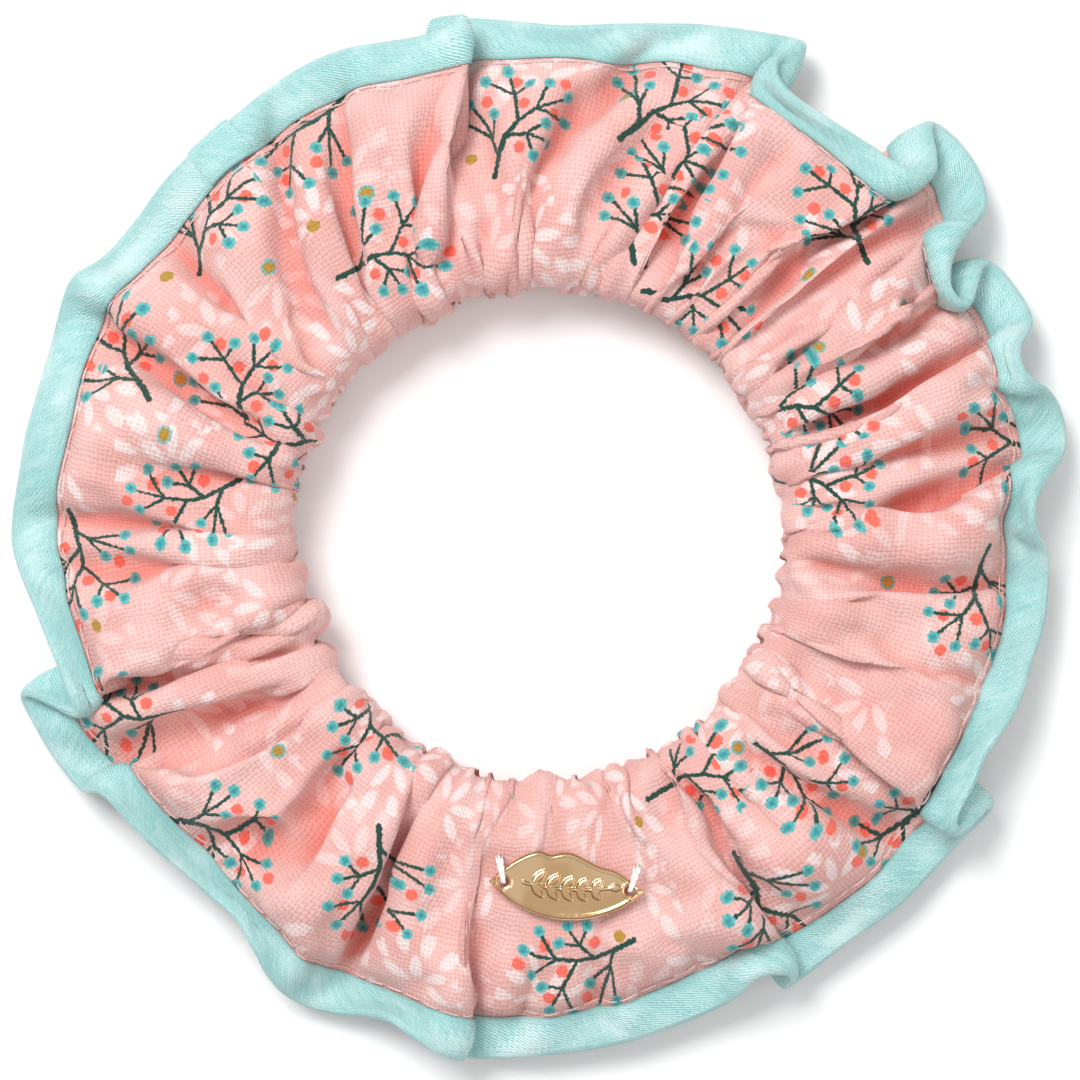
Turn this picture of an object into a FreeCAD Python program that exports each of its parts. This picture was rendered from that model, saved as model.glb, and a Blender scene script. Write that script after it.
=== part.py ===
"""Satin-edged scrunchie: a gathered tube of double gauze round a flat elastic, with a sewn-on metal charm.

The part lies flat on a table. +Z is up, and the origin is under the middle of the ring, on the table.
The charm is on the -Y side. The ring is cut at Y = 0 into a near half (-Y, with the charm) and a far half
(+Y), because the far half slides away along +Y when the elastic stretches.
Every ring piece is its own section turned about Z, and each half of it is its own solid. Millimetres.
"""
import FreeCAD, Part
import math
import os

# ---- driving dimensions -------------------------------------------------------------------------------
OPENING_RADIUS = 28.0       # inner wall of the gathered casing, the hole the hair goes through
OUTER_RADIUS = 60.0         # outer fold of the satin binding
CASING_HEIGHT = 12.0        # puffed casing, lying flat
BINDING_WIDTH = 4.6         # each side of the satin tape, which is folded in half over the raw edges
FACE_CLOTH = 0.35           # printed layer of the double gauze, gathered
BACKING_CLOTH = 0.25        # plain layer of the double gauze, gathered
TAPE_THICKNESS = 0.25
ELASTIC_WIDTH = 6.0         # flat elastic, standing on its edge
ELASTIC_THICKNESS = 1.0
THREAD_RADIUS = 0.15        # sewing thread of the edge stitching
HALF_GAP = 0.15             # each half stops this far from Y = 0
FIT_GAP = 0.03              # between pieces that lie against each other
JOIN_ANGLE = 127.0          # degrees round from +X: where tape, elastic and casing ends are joined

CHARM_LENGTH = 17.5
CHARM_DEPTH = 3.8           # from its centre line to the low edge, and to the tops of the two lobes
CHARM_THICKNESS = 0.8
CHARM_EDGE_ROUND = 0.2
CHARM_RELIEF = 0.15         # height of the raised sprig on its face
CHARM_RADIUS = 39.4         # distance of its centre from the ring's centre
CHARM_SIDE = 3.0            # offset of its centre towards +X
CHARM_TILT = -4.0           # degrees: its +X end is nearer the rim
CHARM_LIFT = 0.1            # its underside stands this far over the casing's highest line
CHARM_HOLE_RADIUS = 0.65
CHARM_HOLE_OFFSET = 7.1     # holes from the charm's centre, along its length
CHARM_THREAD_RADIUS = 0.28

# ---- derived sizes ------------------------------------------------------------------------------------
INNER_ROUND = 3.5                                   # rounding above and below the inner wall
SHOULDER_RADIUS = 45.0                              # where the top starts to fall towards the rim
SHOULDER_HEIGHT = CASING_HEIGHT - 1.0
LIP_HEIGHT = 1.5                                    # both raw edges, pressed together
LIP_MIDDLE = 6.5                                    # height of the rim's middle plane
LIP_START = OUTER_RADIUS - BINDING_WIDTH - 2.0      # the lips lie flat from here outwards
LIP_END = OUTER_RADIUS - TAPE_THICKNESS - 0.8       # raw edges, inside the folded tape
REST_INNER = OPENING_RADIUS + INNER_ROUND
REST_OUTER = 46.0                                   # the underside leaves the table here
BINDING_START = OUTER_RADIUS - BINDING_WIDTH
STITCH_RADIUS = BINDING_START - 2 * THREAD_RADIUS   # edge stitching, just inside the tape
CHARM_BASE = CASING_HEIGHT + CHARM_LIFT
CHARM_FOOT = CASING_HEIGHT - 0.25                   # feet of the charm's thread, just over the sloping cloth

Z_AXIS = FreeCAD.Vector(0, 0, 1)
OUT = "parts"


# ---- helpers ------------------------------------------------------------------------------------------
def rounded_wire(corners):
    """A closed wire in the XZ plane from (x, z, corner radius), with tangent arcs at the corners."""
    points = [FreeCAD.Vector(x, 0, z) for x, z, _ in corners]
    ends = []
    for i, (_, _, radius) in enumerate(corners):
        here = points[i]
        back = (points[i - 1] - here).normalize()
        ahead = (points[(i + 1) % len(points)] - here).normalize()
        if radius == 0:
            ends.append((here, None, here))
            continue
        half = back.getAngle(ahead) / 2
        reach = radius / math.tan(half)
        start = here + back * reach
        stop = here + ahead * reach
        bisector = (back + ahead).normalize()
        middle = here + bisector * (radius / math.sin(half) - radius)
        ends.append((start, middle, stop))
    edges = []
    for i, (start, middle, stop) in enumerate(ends):
        if middle is not None:
            edges.append(Part.Arc(start, middle, stop).toShape())
        following = ends[(i + 1) % len(ends)][0]
        if stop.distanceToPoint(following) > 1e-6:
            edges.append(Part.LineSegment(stop, following).toShape())
    return Part.Wire(Part.__sortEdges__(edges))


def inset(wire, distance):
    """The wire moved inwards by distance, or outwards if it is negative."""
    if distance == 0:
        return wire
    return wire.makeOffset2D(-distance)


def section_between(wire, outer_inset, inner_inset):
    """The flat ring between two insets of a closed wire."""
    return Part.Face(inset(wire, outer_inset)).cut(Part.Face(inset(wire, inner_inset)))


def slab(x_low, x_high, z_low, z_high):
    """A rectangle in the XZ plane."""
    corners = [(x_low, z_low, 0), (x_high, z_low, 0), (x_high, z_high, 0), (x_low, z_high, 0)]
    return Part.Face(rounded_wire(corners))


def turned(section, start_degrees, sweep_degrees):
    """The section turned about Z, starting at an angle from +X."""
    face = section.copy()
    face.rotate(FreeCAD.Vector(), Z_AXIS, start_degrees)
    return face.revolve(FreeCAD.Vector(), Z_AXIS, sweep_degrees)


def half_space(side):
    """A box that holds one half of the ring, HALF_GAP clear of Y = 0."""
    reach = 2 * OUTER_RADIUS
    y_low = HALF_GAP if side == "far" else -reach - HALF_GAP
    corner = FreeCAD.Vector(-reach, y_low, -CASING_HEIGHT)
    return Part.makeBox(2 * reach, reach, 4 * CASING_HEIGHT, corner)


def half_ring(section, side):
    """One half of a ring piece: near is -Y and far is +Y."""
    start = 0 if side == "far" else 180
    return turned(section, start, 180).common(half_space(side))


def save(shape, node):
    """Writes one node's STEP file, after checking that it is closed solids."""
    solids = shape.Solids
    assert solids and all(s.isValid() and s.Volume > 0 for s in solids), node
    Part.makeCompound(solids).exportStep(os.path.join(OUT, node + ".step"))
    print(f"{node}: {len(solids)} solid(s), {shape.Volume:.1f} mm3")


# ---- sections -----------------------------------------------------------------------------------------
def casing_outline():
    """The gathered casing from outside: an upright inner wall, a flat base and a thin rim."""
    low, high = LIP_MIDDLE - LIP_HEIGHT / 2, LIP_MIDDLE + LIP_HEIGHT / 2
    return rounded_wire([
        (OPENING_RADIUS, 0, INNER_ROUND),
        (OPENING_RADIUS, CASING_HEIGHT, INNER_ROUND),
        (SHOULDER_RADIUS, SHOULDER_HEIGHT, 8),
        (LIP_START, high, 3),
        (OUTER_RADIUS, high, 0),
        (OUTER_RADIUS, low, 0),
        (LIP_START, low, 3),
        (REST_OUTER, 0, 6),
    ])


def cloth_section(outer_inset, inner_inset):
    """One cloth layer of the casing, open at the rim, where its two raw edges lie in the tape."""
    ring = section_between(casing_outline(), outer_inset, inner_inset)
    return ring.cut(slab(LIP_END, OUTER_RADIUS + 1, 0, CASING_HEIGHT))


def tape_section(grown):
    """The satin tape folded over the rim, made larger all round by grown."""
    room = LIP_HEIGHT / 2 + FIT_GAP
    inner_high = room + grown
    outer_high = inner_high + TAPE_THICKNESS
    fold = OUTER_RADIUS + grown
    outer = rounded_wire([
        (BINDING_START, LIP_MIDDLE - outer_high, 0),
        (fold, LIP_MIDDLE - outer_high, 0.8),
        (fold, LIP_MIDDLE + outer_high, 0.8),
        (BINDING_START, LIP_MIDDLE + outer_high, 0),
    ])
    inside = rounded_wire([
        (BINDING_START - 1, LIP_MIDDLE - inner_high, 0),
        (fold - TAPE_THICKNESS, LIP_MIDDLE - inner_high, 0.55),
        (fold - TAPE_THICKNESS, LIP_MIDDLE + inner_high, 0.55),
        (BINDING_START - 1, LIP_MIDDLE + inner_high, 0),
    ])
    return Part.Face(outer).cut(Part.Face(inside))


def elastic_section(extra=0.0):
    """The flat elastic standing on its edge, just inside the gathered inner wall."""
    low = (CASING_HEIGHT - ELASTIC_WIDTH) / 2
    start = OPENING_RADIUS + FACE_CLOTH + BACKING_CLOTH + 0.2 + extra
    return slab(start, start + ELASTIC_THICKNESS, low, low + ELASTIC_WIDTH)


def thread_section(radius, height):
    """A round thread that lies along the ring."""
    circle = Part.makeCircle(THREAD_RADIUS, FreeCAD.Vector(radius, 0, height), FreeCAD.Vector(0, 1, 0))
    return Part.Face(Part.Wire(circle))


# ---- ring pieces --------------------------------------------------------------------------------------
def make_ring_pieces():
    """Every piece that runs all round, in its two halves."""
    on_cloth = LIP_HEIGHT / 2 + THREAD_RADIUS + FIT_GAP
    whole_cloth = FACE_CLOTH + BACKING_CLOTH
    sections = {
        "casing_face": cloth_section(0, FACE_CLOTH),
        "casing_backing": cloth_section(FACE_CLOTH + FIT_GAP, whole_cloth + FIT_GAP),
        "elastic_band": elastic_section(),
        "satin_binding": tape_section(0),
        "needle_thread": thread_section(STITCH_RADIUS, LIP_MIDDLE + on_cloth),
        "bobbin_thread": thread_section(STITCH_RADIUS, LIP_MIDDLE - on_cloth),
    }
    for name, section in sections.items():
        for side in ("near", "far"):
            save(half_ring(section, side), f"{name}_{side}")


# ---- joins on the far half ----------------------------------------------------------------------------
def make_joins():
    """Where the ends of the tape, the elastic and the casing meet."""
    lap_degrees = math.degrees(6.0 / OUTER_RADIUS)
    save(turned(tape_section(TAPE_THICKNESS + FIT_GAP), JOIN_ANGLE, lap_degrees), "binding_lap")

    tab_degrees = math.degrees(10.0 / OPENING_RADIUS)
    tab_offset = ELASTIC_THICKNESS + FIT_GAP
    save(turned(elastic_section(tab_offset), JOIN_ANGLE, tab_degrees), "elastic_end_tab")

    surface = OPENING_RADIUS + FACE_CLOTH + BACKING_CLOTH + 0.2 + 2 * ELASTIC_THICKNESS + FIT_GAP
    lie = surface + THREAD_RADIUS + FIT_GAP
    bottom = (CASING_HEIGHT - ELASTIC_WIDTH) / 2 + 0.6
    stitches = []
    for step in range(5):
        bar = Part.makeCylinder(THREAD_RADIUS, ELASTIC_WIDTH - 1.2, FreeCAD.Vector(lie, 0, bottom), Z_AXIS)
        bar.rotate(FreeCAD.Vector(), Z_AXIS, JOIN_ANGLE + tab_degrees * (step + 1) / 6)
        stitches.append(bar)
    save(Part.makeCompound(stitches), "elastic_join_stitches")

    whole_cloth = FACE_CLOTH + BACKING_CLOTH + FIT_GAP
    inside = section_between(casing_outline(), whole_cloth + 0.05, whole_cloth + 0.25)
    inside = inside.cut(slab(LIP_START, OUTER_RADIUS + 1, 0, CASING_HEIGHT))
    inside = inside.cut(slab(0, OPENING_RADIUS + INNER_ROUND, 0, CASING_HEIGHT))
    save(turned(inside, JOIN_ANGLE - 2, 0.4), "casing_seam_thread")


# ---- charm and the thread that holds it ---------------------------------------------------------------
def to_charm_place(shape):
    """Moves a shape from the charm's own frame (length along X) to its place on the near half."""
    shape.rotate(FreeCAD.Vector(), Z_AXIS, CHARM_TILT)
    shape.translate(FreeCAD.Vector(CHARM_SIDE, -CHARM_RADIUS, 0))
    return shape


def charm_outline():
    """A pointed leaf: one sweep below, and above it two soft lobes that run out in a low shoulder."""
    tip = CHARM_LENGTH / 2
    upper = [(-tip, 0), (-6.2, 2.4), (-3.6, 3.75), (-2.0, 3.45), (0.2, CHARM_DEPTH), (3.5, 2.5), (5.6, 2.0), (tip, 0)]
    points = [FreeCAD.Vector(x, y, 0) for x, y in upper]
    above = Part.BSplineCurve()
    above.interpolate(points)
    below = Part.Arc(points[-1], FreeCAD.Vector(0, -CHARM_DEPTH, 0), points[0])
    return Part.Wire([above.toShape(), below.toShape()])


def charm_leaf(x, y, turn, length, width):
    """One raised leaf of the sprig: two arcs that meet in points, standing on the charm's face."""
    base, tip = FreeCAD.Vector(0, 0, 0), FreeCAD.Vector(length, 0, 0)
    sides = [Part.Arc(base, FreeCAD.Vector(length / 2, side * width / 2, 0), tip).toShape() for side in (1, -1)]
    leaf = Part.Face(Part.Wire(sides)).extrude(FreeCAD.Vector(0, 0, CHARM_RELIEF + 0.1))
    leaf.rotate(FreeCAD.Vector(), Z_AXIS, turn)
    leaf.translate(FreeCAD.Vector(x, y, CHARM_THICKNESS - 0.1))
    return leaf


def charm_sprig():
    """A bowed stem with pairs of leaves, raised on the charm's face."""
    bow = 0.5
    reach = 5.0
    stem_width = 0.3
    sweep = [FreeCAD.Vector(-reach, 0, 0), FreeCAD.Vector(0, -bow, 0), FreeCAD.Vector(reach, 0, 0)]
    back = [FreeCAD.Vector(p.x, p.y + stem_width, 0) for p in reversed(sweep)]
    outline = Part.Wire([
        Part.Arc(*sweep).toShape(),
        Part.LineSegment(sweep[-1], back[0]).toShape(),
        Part.Arc(*back).toShape(),
        Part.LineSegment(back[-1], sweep[0]).toShape(),
    ])
    stem = Part.Face(outline).extrude(FreeCAD.Vector(0, 0, CHARM_RELIEF + 0.1))
    stem.translate(FreeCAD.Vector(0, 0, CHARM_THICKNESS - 0.1))
    sprig = [stem]
    for step in range(5):
        x = -4.0 + step * 1.7
        y = -bow * (1 - (x / reach) ** 2) + stem_width / 2
        length = 2.3 - 0.15 * step
        sprig.append(charm_leaf(x, y, 48, length, 0.75))
        sprig.append(charm_leaf(x, y, -44, length * 0.9, 0.75))
    sprig.append(charm_leaf(reach - 0.3, stem_width / 2, 4, 1.5, 0.7))
    return sprig


def make_charm():
    """The polished metal charm: rounded edges, a raised sprig and a hole near each tip."""
    plate = Part.Face(charm_outline()).extrude(FreeCAD.Vector(0, 0, CHARM_THICKNESS))
    top_edges = [e for e in plate.Edges if e.BoundBox.ZMin > CHARM_THICKNESS / 2]
    plate = plate.makeFillet(CHARM_EDGE_ROUND, top_edges)
    for side in (-1, 1):
        place = FreeCAD.Vector(side * CHARM_HOLE_OFFSET, 0, -1)
        plate = plate.cut(Part.makeCylinder(CHARM_HOLE_RADIUS, CHARM_THICKNESS + 2, place))
    plate = plate.fuse(charm_sprig()).removeSplitter()
    plate.translate(FreeCAD.Vector(0, 0, CHARM_BASE))
    save(to_charm_place(plate), "charm_plate")


def charm_thread(side):
    """A loop of thread: up through the hole, over the charm's upper edge and down to the cloth."""
    span = 2.65
    lean = 14 * side
    foot = CHARM_FOOT
    top = CHARM_BASE + CHARM_THICKNESS + CHARM_THREAD_RADIUS + 0.3
    bend = 0.5
    slant = bend * (1 - math.cos(math.pi / 4))
    rise, over = FreeCAD.Vector(0, 0, top - bend), FreeCAD.Vector(0, bend, top)
    leave, fall = FreeCAD.Vector(0, span - bend, top), FreeCAD.Vector(0, span, top - bend)
    path = Part.Wire([
        Part.LineSegment(FreeCAD.Vector(0, 0, foot), rise).toShape(),
        Part.Arc(rise, FreeCAD.Vector(0, slant, top - slant), over).toShape(),
        Part.LineSegment(over, leave).toShape(),
        Part.Arc(leave, FreeCAD.Vector(0, span - slant, top - slant), fall).toShape(),
        Part.LineSegment(fall, FreeCAD.Vector(0, span, foot)).toShape(),
    ])
    circle = Part.makeCircle(CHARM_THREAD_RADIUS, FreeCAD.Vector(0, 0, foot), Z_AXIS)
    loop = path.makePipeShell([Part.Wire(circle)], True, True)
    loop.rotate(FreeCAD.Vector(), Z_AXIS, -lean)
    loop.translate(FreeCAD.Vector(side * CHARM_HOLE_OFFSET, 0, 0))
    return to_charm_place(loop)


def make_charm_threads():
    """The two thread loops, and their knots inside the casing."""
    save(charm_thread(-1), "charm_thread_left")
    save(charm_thread(1), "charm_thread_right")
    knot_radius = 0.6
    under = CHARM_FOOT - FACE_CLOTH - BACKING_CLOTH - knot_radius - 0.6
    knots = []
    for side in (-1, 1):
        knot = Part.makeSphere(knot_radius, FreeCAD.Vector(side * CHARM_HOLE_OFFSET, 1.0, under))
        knots.append(to_charm_place(knot))
    save(Part.makeCompound(knots), "charm_thread_knots")


os.makedirs(OUT, exist_ok=True)
make_ring_pieces()
make_joins()
make_charm()
make_charm_threads()
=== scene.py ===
import math

import bmesh
import bpy
import numpy as np
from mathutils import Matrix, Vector, kdtree


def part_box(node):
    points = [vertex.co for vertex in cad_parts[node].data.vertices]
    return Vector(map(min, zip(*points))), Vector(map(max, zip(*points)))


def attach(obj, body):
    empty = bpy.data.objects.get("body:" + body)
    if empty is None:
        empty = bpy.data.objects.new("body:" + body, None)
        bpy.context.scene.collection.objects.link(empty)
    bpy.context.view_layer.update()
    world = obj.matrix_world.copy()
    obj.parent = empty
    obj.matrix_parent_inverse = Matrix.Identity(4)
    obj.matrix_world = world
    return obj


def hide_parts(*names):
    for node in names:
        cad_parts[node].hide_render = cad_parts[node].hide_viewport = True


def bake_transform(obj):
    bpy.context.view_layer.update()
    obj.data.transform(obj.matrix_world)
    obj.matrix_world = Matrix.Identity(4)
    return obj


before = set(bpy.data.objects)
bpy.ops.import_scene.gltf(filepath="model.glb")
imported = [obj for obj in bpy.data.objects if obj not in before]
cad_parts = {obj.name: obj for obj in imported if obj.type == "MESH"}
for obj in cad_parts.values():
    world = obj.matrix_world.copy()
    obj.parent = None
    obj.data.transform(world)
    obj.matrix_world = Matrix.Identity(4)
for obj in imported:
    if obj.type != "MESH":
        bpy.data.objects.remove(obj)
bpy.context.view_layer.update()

SEED = 20
MM = 0.001
TAU = 2 * math.pi

# ---- sizes, in millimetres ----------------------------------------------------------------------------
STRIP_WIDTH = 70.0          # the casing's cut width, hem to hem round the elastic
TAPE_SIDE = 4.6             # each side of the folded tape
GRID_STEP = 1.1             # finest spacing of the casing's grid
COARSE = 2                  # the coarse grid's step, in fine steps
FINAL = 3                   # and in steps of the finished grid
LAYER = 0.28                # the two cloth layers of the hem stand this far each side of its middle
OPENING = 27.9              # radius of the gathered inner wall
INNER_TOP = 11.4            # height of the casing's top where it is fully puffed, before its gathers
INNER_BOTTOM = 0.5          # and of its underside
MIDDLE = 6.0                # height of the casing's middle at the inner wall
INNER_ROUND_R = 3.6         # how far the cloth rounds over from a layer to the inner wall
HIGHEST = 12.6              # the cloth's highest folds
UNDER_CHARM = 11.3          # the highest that the cloth may reach under the charm
TABLE_GAP = 0.12            # the cloth's lowest points over the table
INNER_DRIFT = 0.55          # how far the gathers follow the hem's uneven fullness
FLAT_SHARE = 0.79           # of each layer's width; the rest goes round the inner wall
# the cloth is made this share shorter at the inner wall, in place of gathers too fine for the grid
GATHERED_IN = 0.36
# gathers, from fine ones at the elastic to broad ones near the hem: how many, where they start and end
# between the hem (0) and the inner wall (1), and their height
GATHERS = [(46, 0.55, 1.45, 1.3), (33, 0.34, 1.0, 1.5), (23, 0.16, 0.75, 1.2), (15, 0.05, 0.5, 0.9)]

CHARM_X, CHARM_Y = 3.0, -39.4
CHARM_TILT = -4.0           # degrees
CHARM_HOLE_OFFSET = 7.1     # each hole, from the charm's middle
STITCH_PITCH = 2.6
STITCH_RADIUS = 0.08
ELASTIC_INNER = 28.8        # radius of the elastic's inner face
ELASTIC_THICKNESS = 1.0
ELASTIC_LOW, ELASTIC_HIGH = 3.0, 9.0
HORIZON_LIGHT, ZENITH_LIGHT = 0.12, 0.70    # strength of the sky, level and straight up
KEY_LIGHT = 6.9             # watts
FILL_LIGHT = 1.2
FRAME_WIDTH = 122.7         # what the camera sees across, at the middle of the ring
FRAME_MIDDLE_Y = -0.57
# fine crumple of the cloth: its height, and how far it runs round and across the strip
CRUMPLES = [(0.50, (3.4, 5.0)), (0.27, (1.2, 3.2)), (0.26, (2.4, 1.6)), (0.07, (0.7, 1.0))]
PUFF, PUFF_LIMIT = 0.75, 2.2  # bulges of the inner wall between the elastic's gathers
BACKING_GAP = 0.3           # the plain layer lies this far inside the printed one, and half of it at the hem
TAPE_THICKNESS = 0.25
JOIN_ANGLE = 127.0          # degrees round from +X: where tape, elastic and casing ends are joined
JOIN_RADIUS = 57.5          # the hem's rough radius there
LAP_LENGTH = 6.0            # of the tape's ends
LAP_PATTERN = 200.0         # the lap's satin pattern starts this far along the tape's
TAB_LENGTH = 10.0           # of the elastic's lapped end

# ---- print, in millimetres on the flat cloth ----------------------------------------------------------
WEAVE_PITCH = 0.53
RIB_PITCH = 0.36            # the satin's slanting ribs
GRAIN_PITCH = 0.5           # its fainter threads, across the ribs
SPRIG_SPACING = 15.0
DOT_SPACING = 9.0
DOT_TRIES = 70
PRINT_STRETCH = 1.2         # motifs are drawn this much longer round the strip, to show full size gathered
PLAN_SHARE = 0.65           # how far a listed sprig is drawn by its place seen from above
SPRIG_REACH_PLAN = 8.8
NOWHERE = 99.0              # a place with nothing of the motif on it
STEEPEST = 0.2              # cloth steeper than this has no sprig of the top layer on it
HAND = -1.0                 # seen from above, the flat cloth's two directions turn the other way
STEM_HEADING = 28.0         # of the thick end of the stem, in the sprig's own frame
# where sprigs show on top: x, y, and the heading of the stem's thick end
SPRIGS = [
    (-27.5, 44.5, 50), (-37.5, 37.0, -100), (-48.0, 21.0, -60), (-34.0, 17.5, -85), (-40.0, 3.0, 30),
    (-51.0, -4.0, 110), (-29.0, 10.0, 20), (18.5, -26.0, -150), (29.5, -27.5, 140), (26.0, -42.0, 120),
    (4.0, -49.0, 28), (33.0, 6.0, 170), (31.5, 15.0, 190), (53.0, 10.0, 0), (49.5, -8.0, 80),
    (34.5, 37.5, -70), (16.5, 43.5, -110), (13.0, 37.5, -100), (-3.0, 47.5, -110), (-16.5, 32.5, -150),
    (19.0, 27.5, 180), (-47.5, -21.0, 10), (-35.0, -33.5, 170), (-18.0, -40.0, 90), (-18.5, -22.0, 100),
    (14.5, 49.5, -140), (41.5, -34.0, 60),
]
# where mustard dots show on top
DOTS = [
    (-7.5, 42.5), (-19.5, 38.0), (-30.0, 30.0), (-40.5, 17.5), (-42.0, 11.0), (-50.0, -10.5), (36.5, -36.0),
    (34.0, -13.5), (9.0, -45.0), (39.0, -5.5), (30.5, 29.0), (22.5, -24.0), (10.0, 49.5), (-25.0, 34.5),
]
# one sprig: lines of its stem with their half-widths, and its berries
STEMS = [
    ((6.5, 3.5), (4.3, 2.3), 0.30), ((4.3, 2.3), (2.3, 1.2), 0.26), ((2.3, 1.2), (0.3, 0.9), 0.23),
    ((0.3, 0.9), (-2.1, 1.2), 0.20), ((-2.1, 1.2), (-4.0, 4.2), 0.16), ((-2.1, 1.2), (-5.5, 2.3), 0.16),
    ((-2.1, 1.2), (-4.8, -0.2), 0.16), ((2.3, 1.2), (0.5, 2.7), 0.20), ((0.5, 2.7), (-0.8, 4.7), 0.16),
    ((0.5, 2.7), (1.2, 4.8), 0.16), ((0.5, 2.7), (-1.6, 3.0), 0.15), ((0.3, 0.9), (-1.5, -2.1), 0.20),
    ((-1.5, -2.1), (-3.4, -1.9), 0.15), ((-1.5, -2.1), (-2.8, -4.6), 0.16),
    ((-1.5, -2.1), (-0.3, -5.1), 0.16), ((4.3, 2.3), (3.6, 0.3), 0.20), ((3.6, 0.3), (1.8, -1.6), 0.16),
    ((3.6, 0.3), (2.8, -4.4), 0.16), ((3.6, 0.3), (4.6, -3.6), 0.16),
]
TEAL_BERRIES = [
    (-4.1, 4.5), (-5.9, 2.4), (-5.1, -0.3), (-0.9, 5.0), (1.3, 5.1), (-1.9, 3.1),
    (-3.6, -1.9), (-2.9, -4.9), (-0.2, -5.4), (1.7, -1.8), (2.8, -4.8), (4.7, -3.9),
]
TEAL_RADIUS, CORAL_RADIUS = 0.66, 0.67
CORAL_BERRIES = [(2.1, 3.2), (-1.5, -0.3), (-6.5, 0.8), (-2.8, -3.3), (1.3, -3.4), (-3.4, 2.9)]
# rings of petals in a fan: how many to a full turn, middle radius, half-length, half-width, half-angle
FAN_RINGS = [(7, 2.6, 1.6, 0.62, 2.0), (13, 6.0, 1.7, 0.72, 1.5)]
FIBRE_HEIGHT = 0.00009      # metres, of the gauze's threads and the satin's ribs
TWIST_PITCH = 0.35          # of a sewing thread

# ---- colours, linear ----------------------------------------------------------------------------------
PINK = (0.76, 0.425, 0.39)
PINK_PALE = (0.83, 0.54, 0.505)
PETAL = (0.90, 0.80, 0.79)
# painted shade: the saturated coral that the bottoms of the cloth's folds are tinted
CREASE_SHADE = (0.90, 0.30, 0.23)
# painted shade: the colour that the weave's holes are darkened by
HOLE_SHADE = (0.62, 0.38, 0.36)
STEM_GREEN = (0.012, 0.07, 0.052)
TEAL = (0.045, 0.32, 0.34)
TEAL_PALE = (0.13, 0.50, 0.50)
CORAL = (0.90, 0.17, 0.12)
MUSTARD = (0.46, 0.28, 0.045)
MINT = (0.42, 0.745, 0.73)
# painted shade colour of the satin
MINT_SHADE = (0.20, 0.50, 0.485)
# painted highlight colour of the satin's sheen
MINT_HIGHLIGHT = (0.76, 0.92, 0.91)
GOLD = (0.87, 0.60, 0.34)
GOLD_DEEP = (0.74, 0.47, 0.24)

FOLD_GAIN = 1.35
# Folds that stand out on the top layer: their two ends, half-width and height; a valley is below zero.
FOLDS = [
    (((-49.0, 15.5), (-34.0, 17.5)), 4.0, -3.5),
    (((-47.0, 23.5), (-31.5, 21.5)), 2.5, 1.5),
    (((-50.0, 11.5), (-34.0, 9.5)), 3.0, 1.8),
    (((-45.0, 3.5), (-27.0, 7.5)), 2.0, -1.6),
    (((-49.0, -18.5), (-29.0, -7.5)), 2.2, -3.0),
    (((-45.0, -13.0), (-30.0, -4.0)), 3.0, 1.6),
    (((-46.0, -24.0), (-29.0, -16.0)), 3.0, 1.5),
    (((-19.0, -48.0), (-17.5, -33.0)), 1.6, -3.0),
    (((-24.0, -47.0), (-21.0, -34.0)), 3.0, 1.5),
    (((-28.0, -34.5), (-21.0, -31.0)), 2.0, -2.0),
    (((-10.0, -49.0), (-8.0, -34.0)), 2.0, -1.6),
    (((-3.4, 48.5), (2.0, 34.0)), 1.8, -3.2),
    (((-9.0, 50.0), (-2.0, 34.0)), 3.0, 1.6),
    (((19.0, 50.0), (14.0, 34.0)), 2.5, 1.5),
    (((24.0, 46.0), (17.0, 34.0)), 2.0, -1.8),
    (((30.0, 41.0), (23.0, 27.0)), 4.0, 1.6),
    (((34.0, 20.0), (50.0, 28.0)), 2.5, -1.8),
    (((30.0, 10.0), (52.0, 14.0)), 2.5, -2.0),
    (((32.0, 5.0), (52.0, 6.0)), 3.5, 1.5),
    (((31.0, -6.0), (54.0, -5.0)), 2.0, -2.2),
    (((22.0, -24.0), (40.0, -33.0)), 2.2, -2.4),
    (((17.0, -29.0), (25.0, -47.0)), 2.0, -2.2),
]

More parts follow.
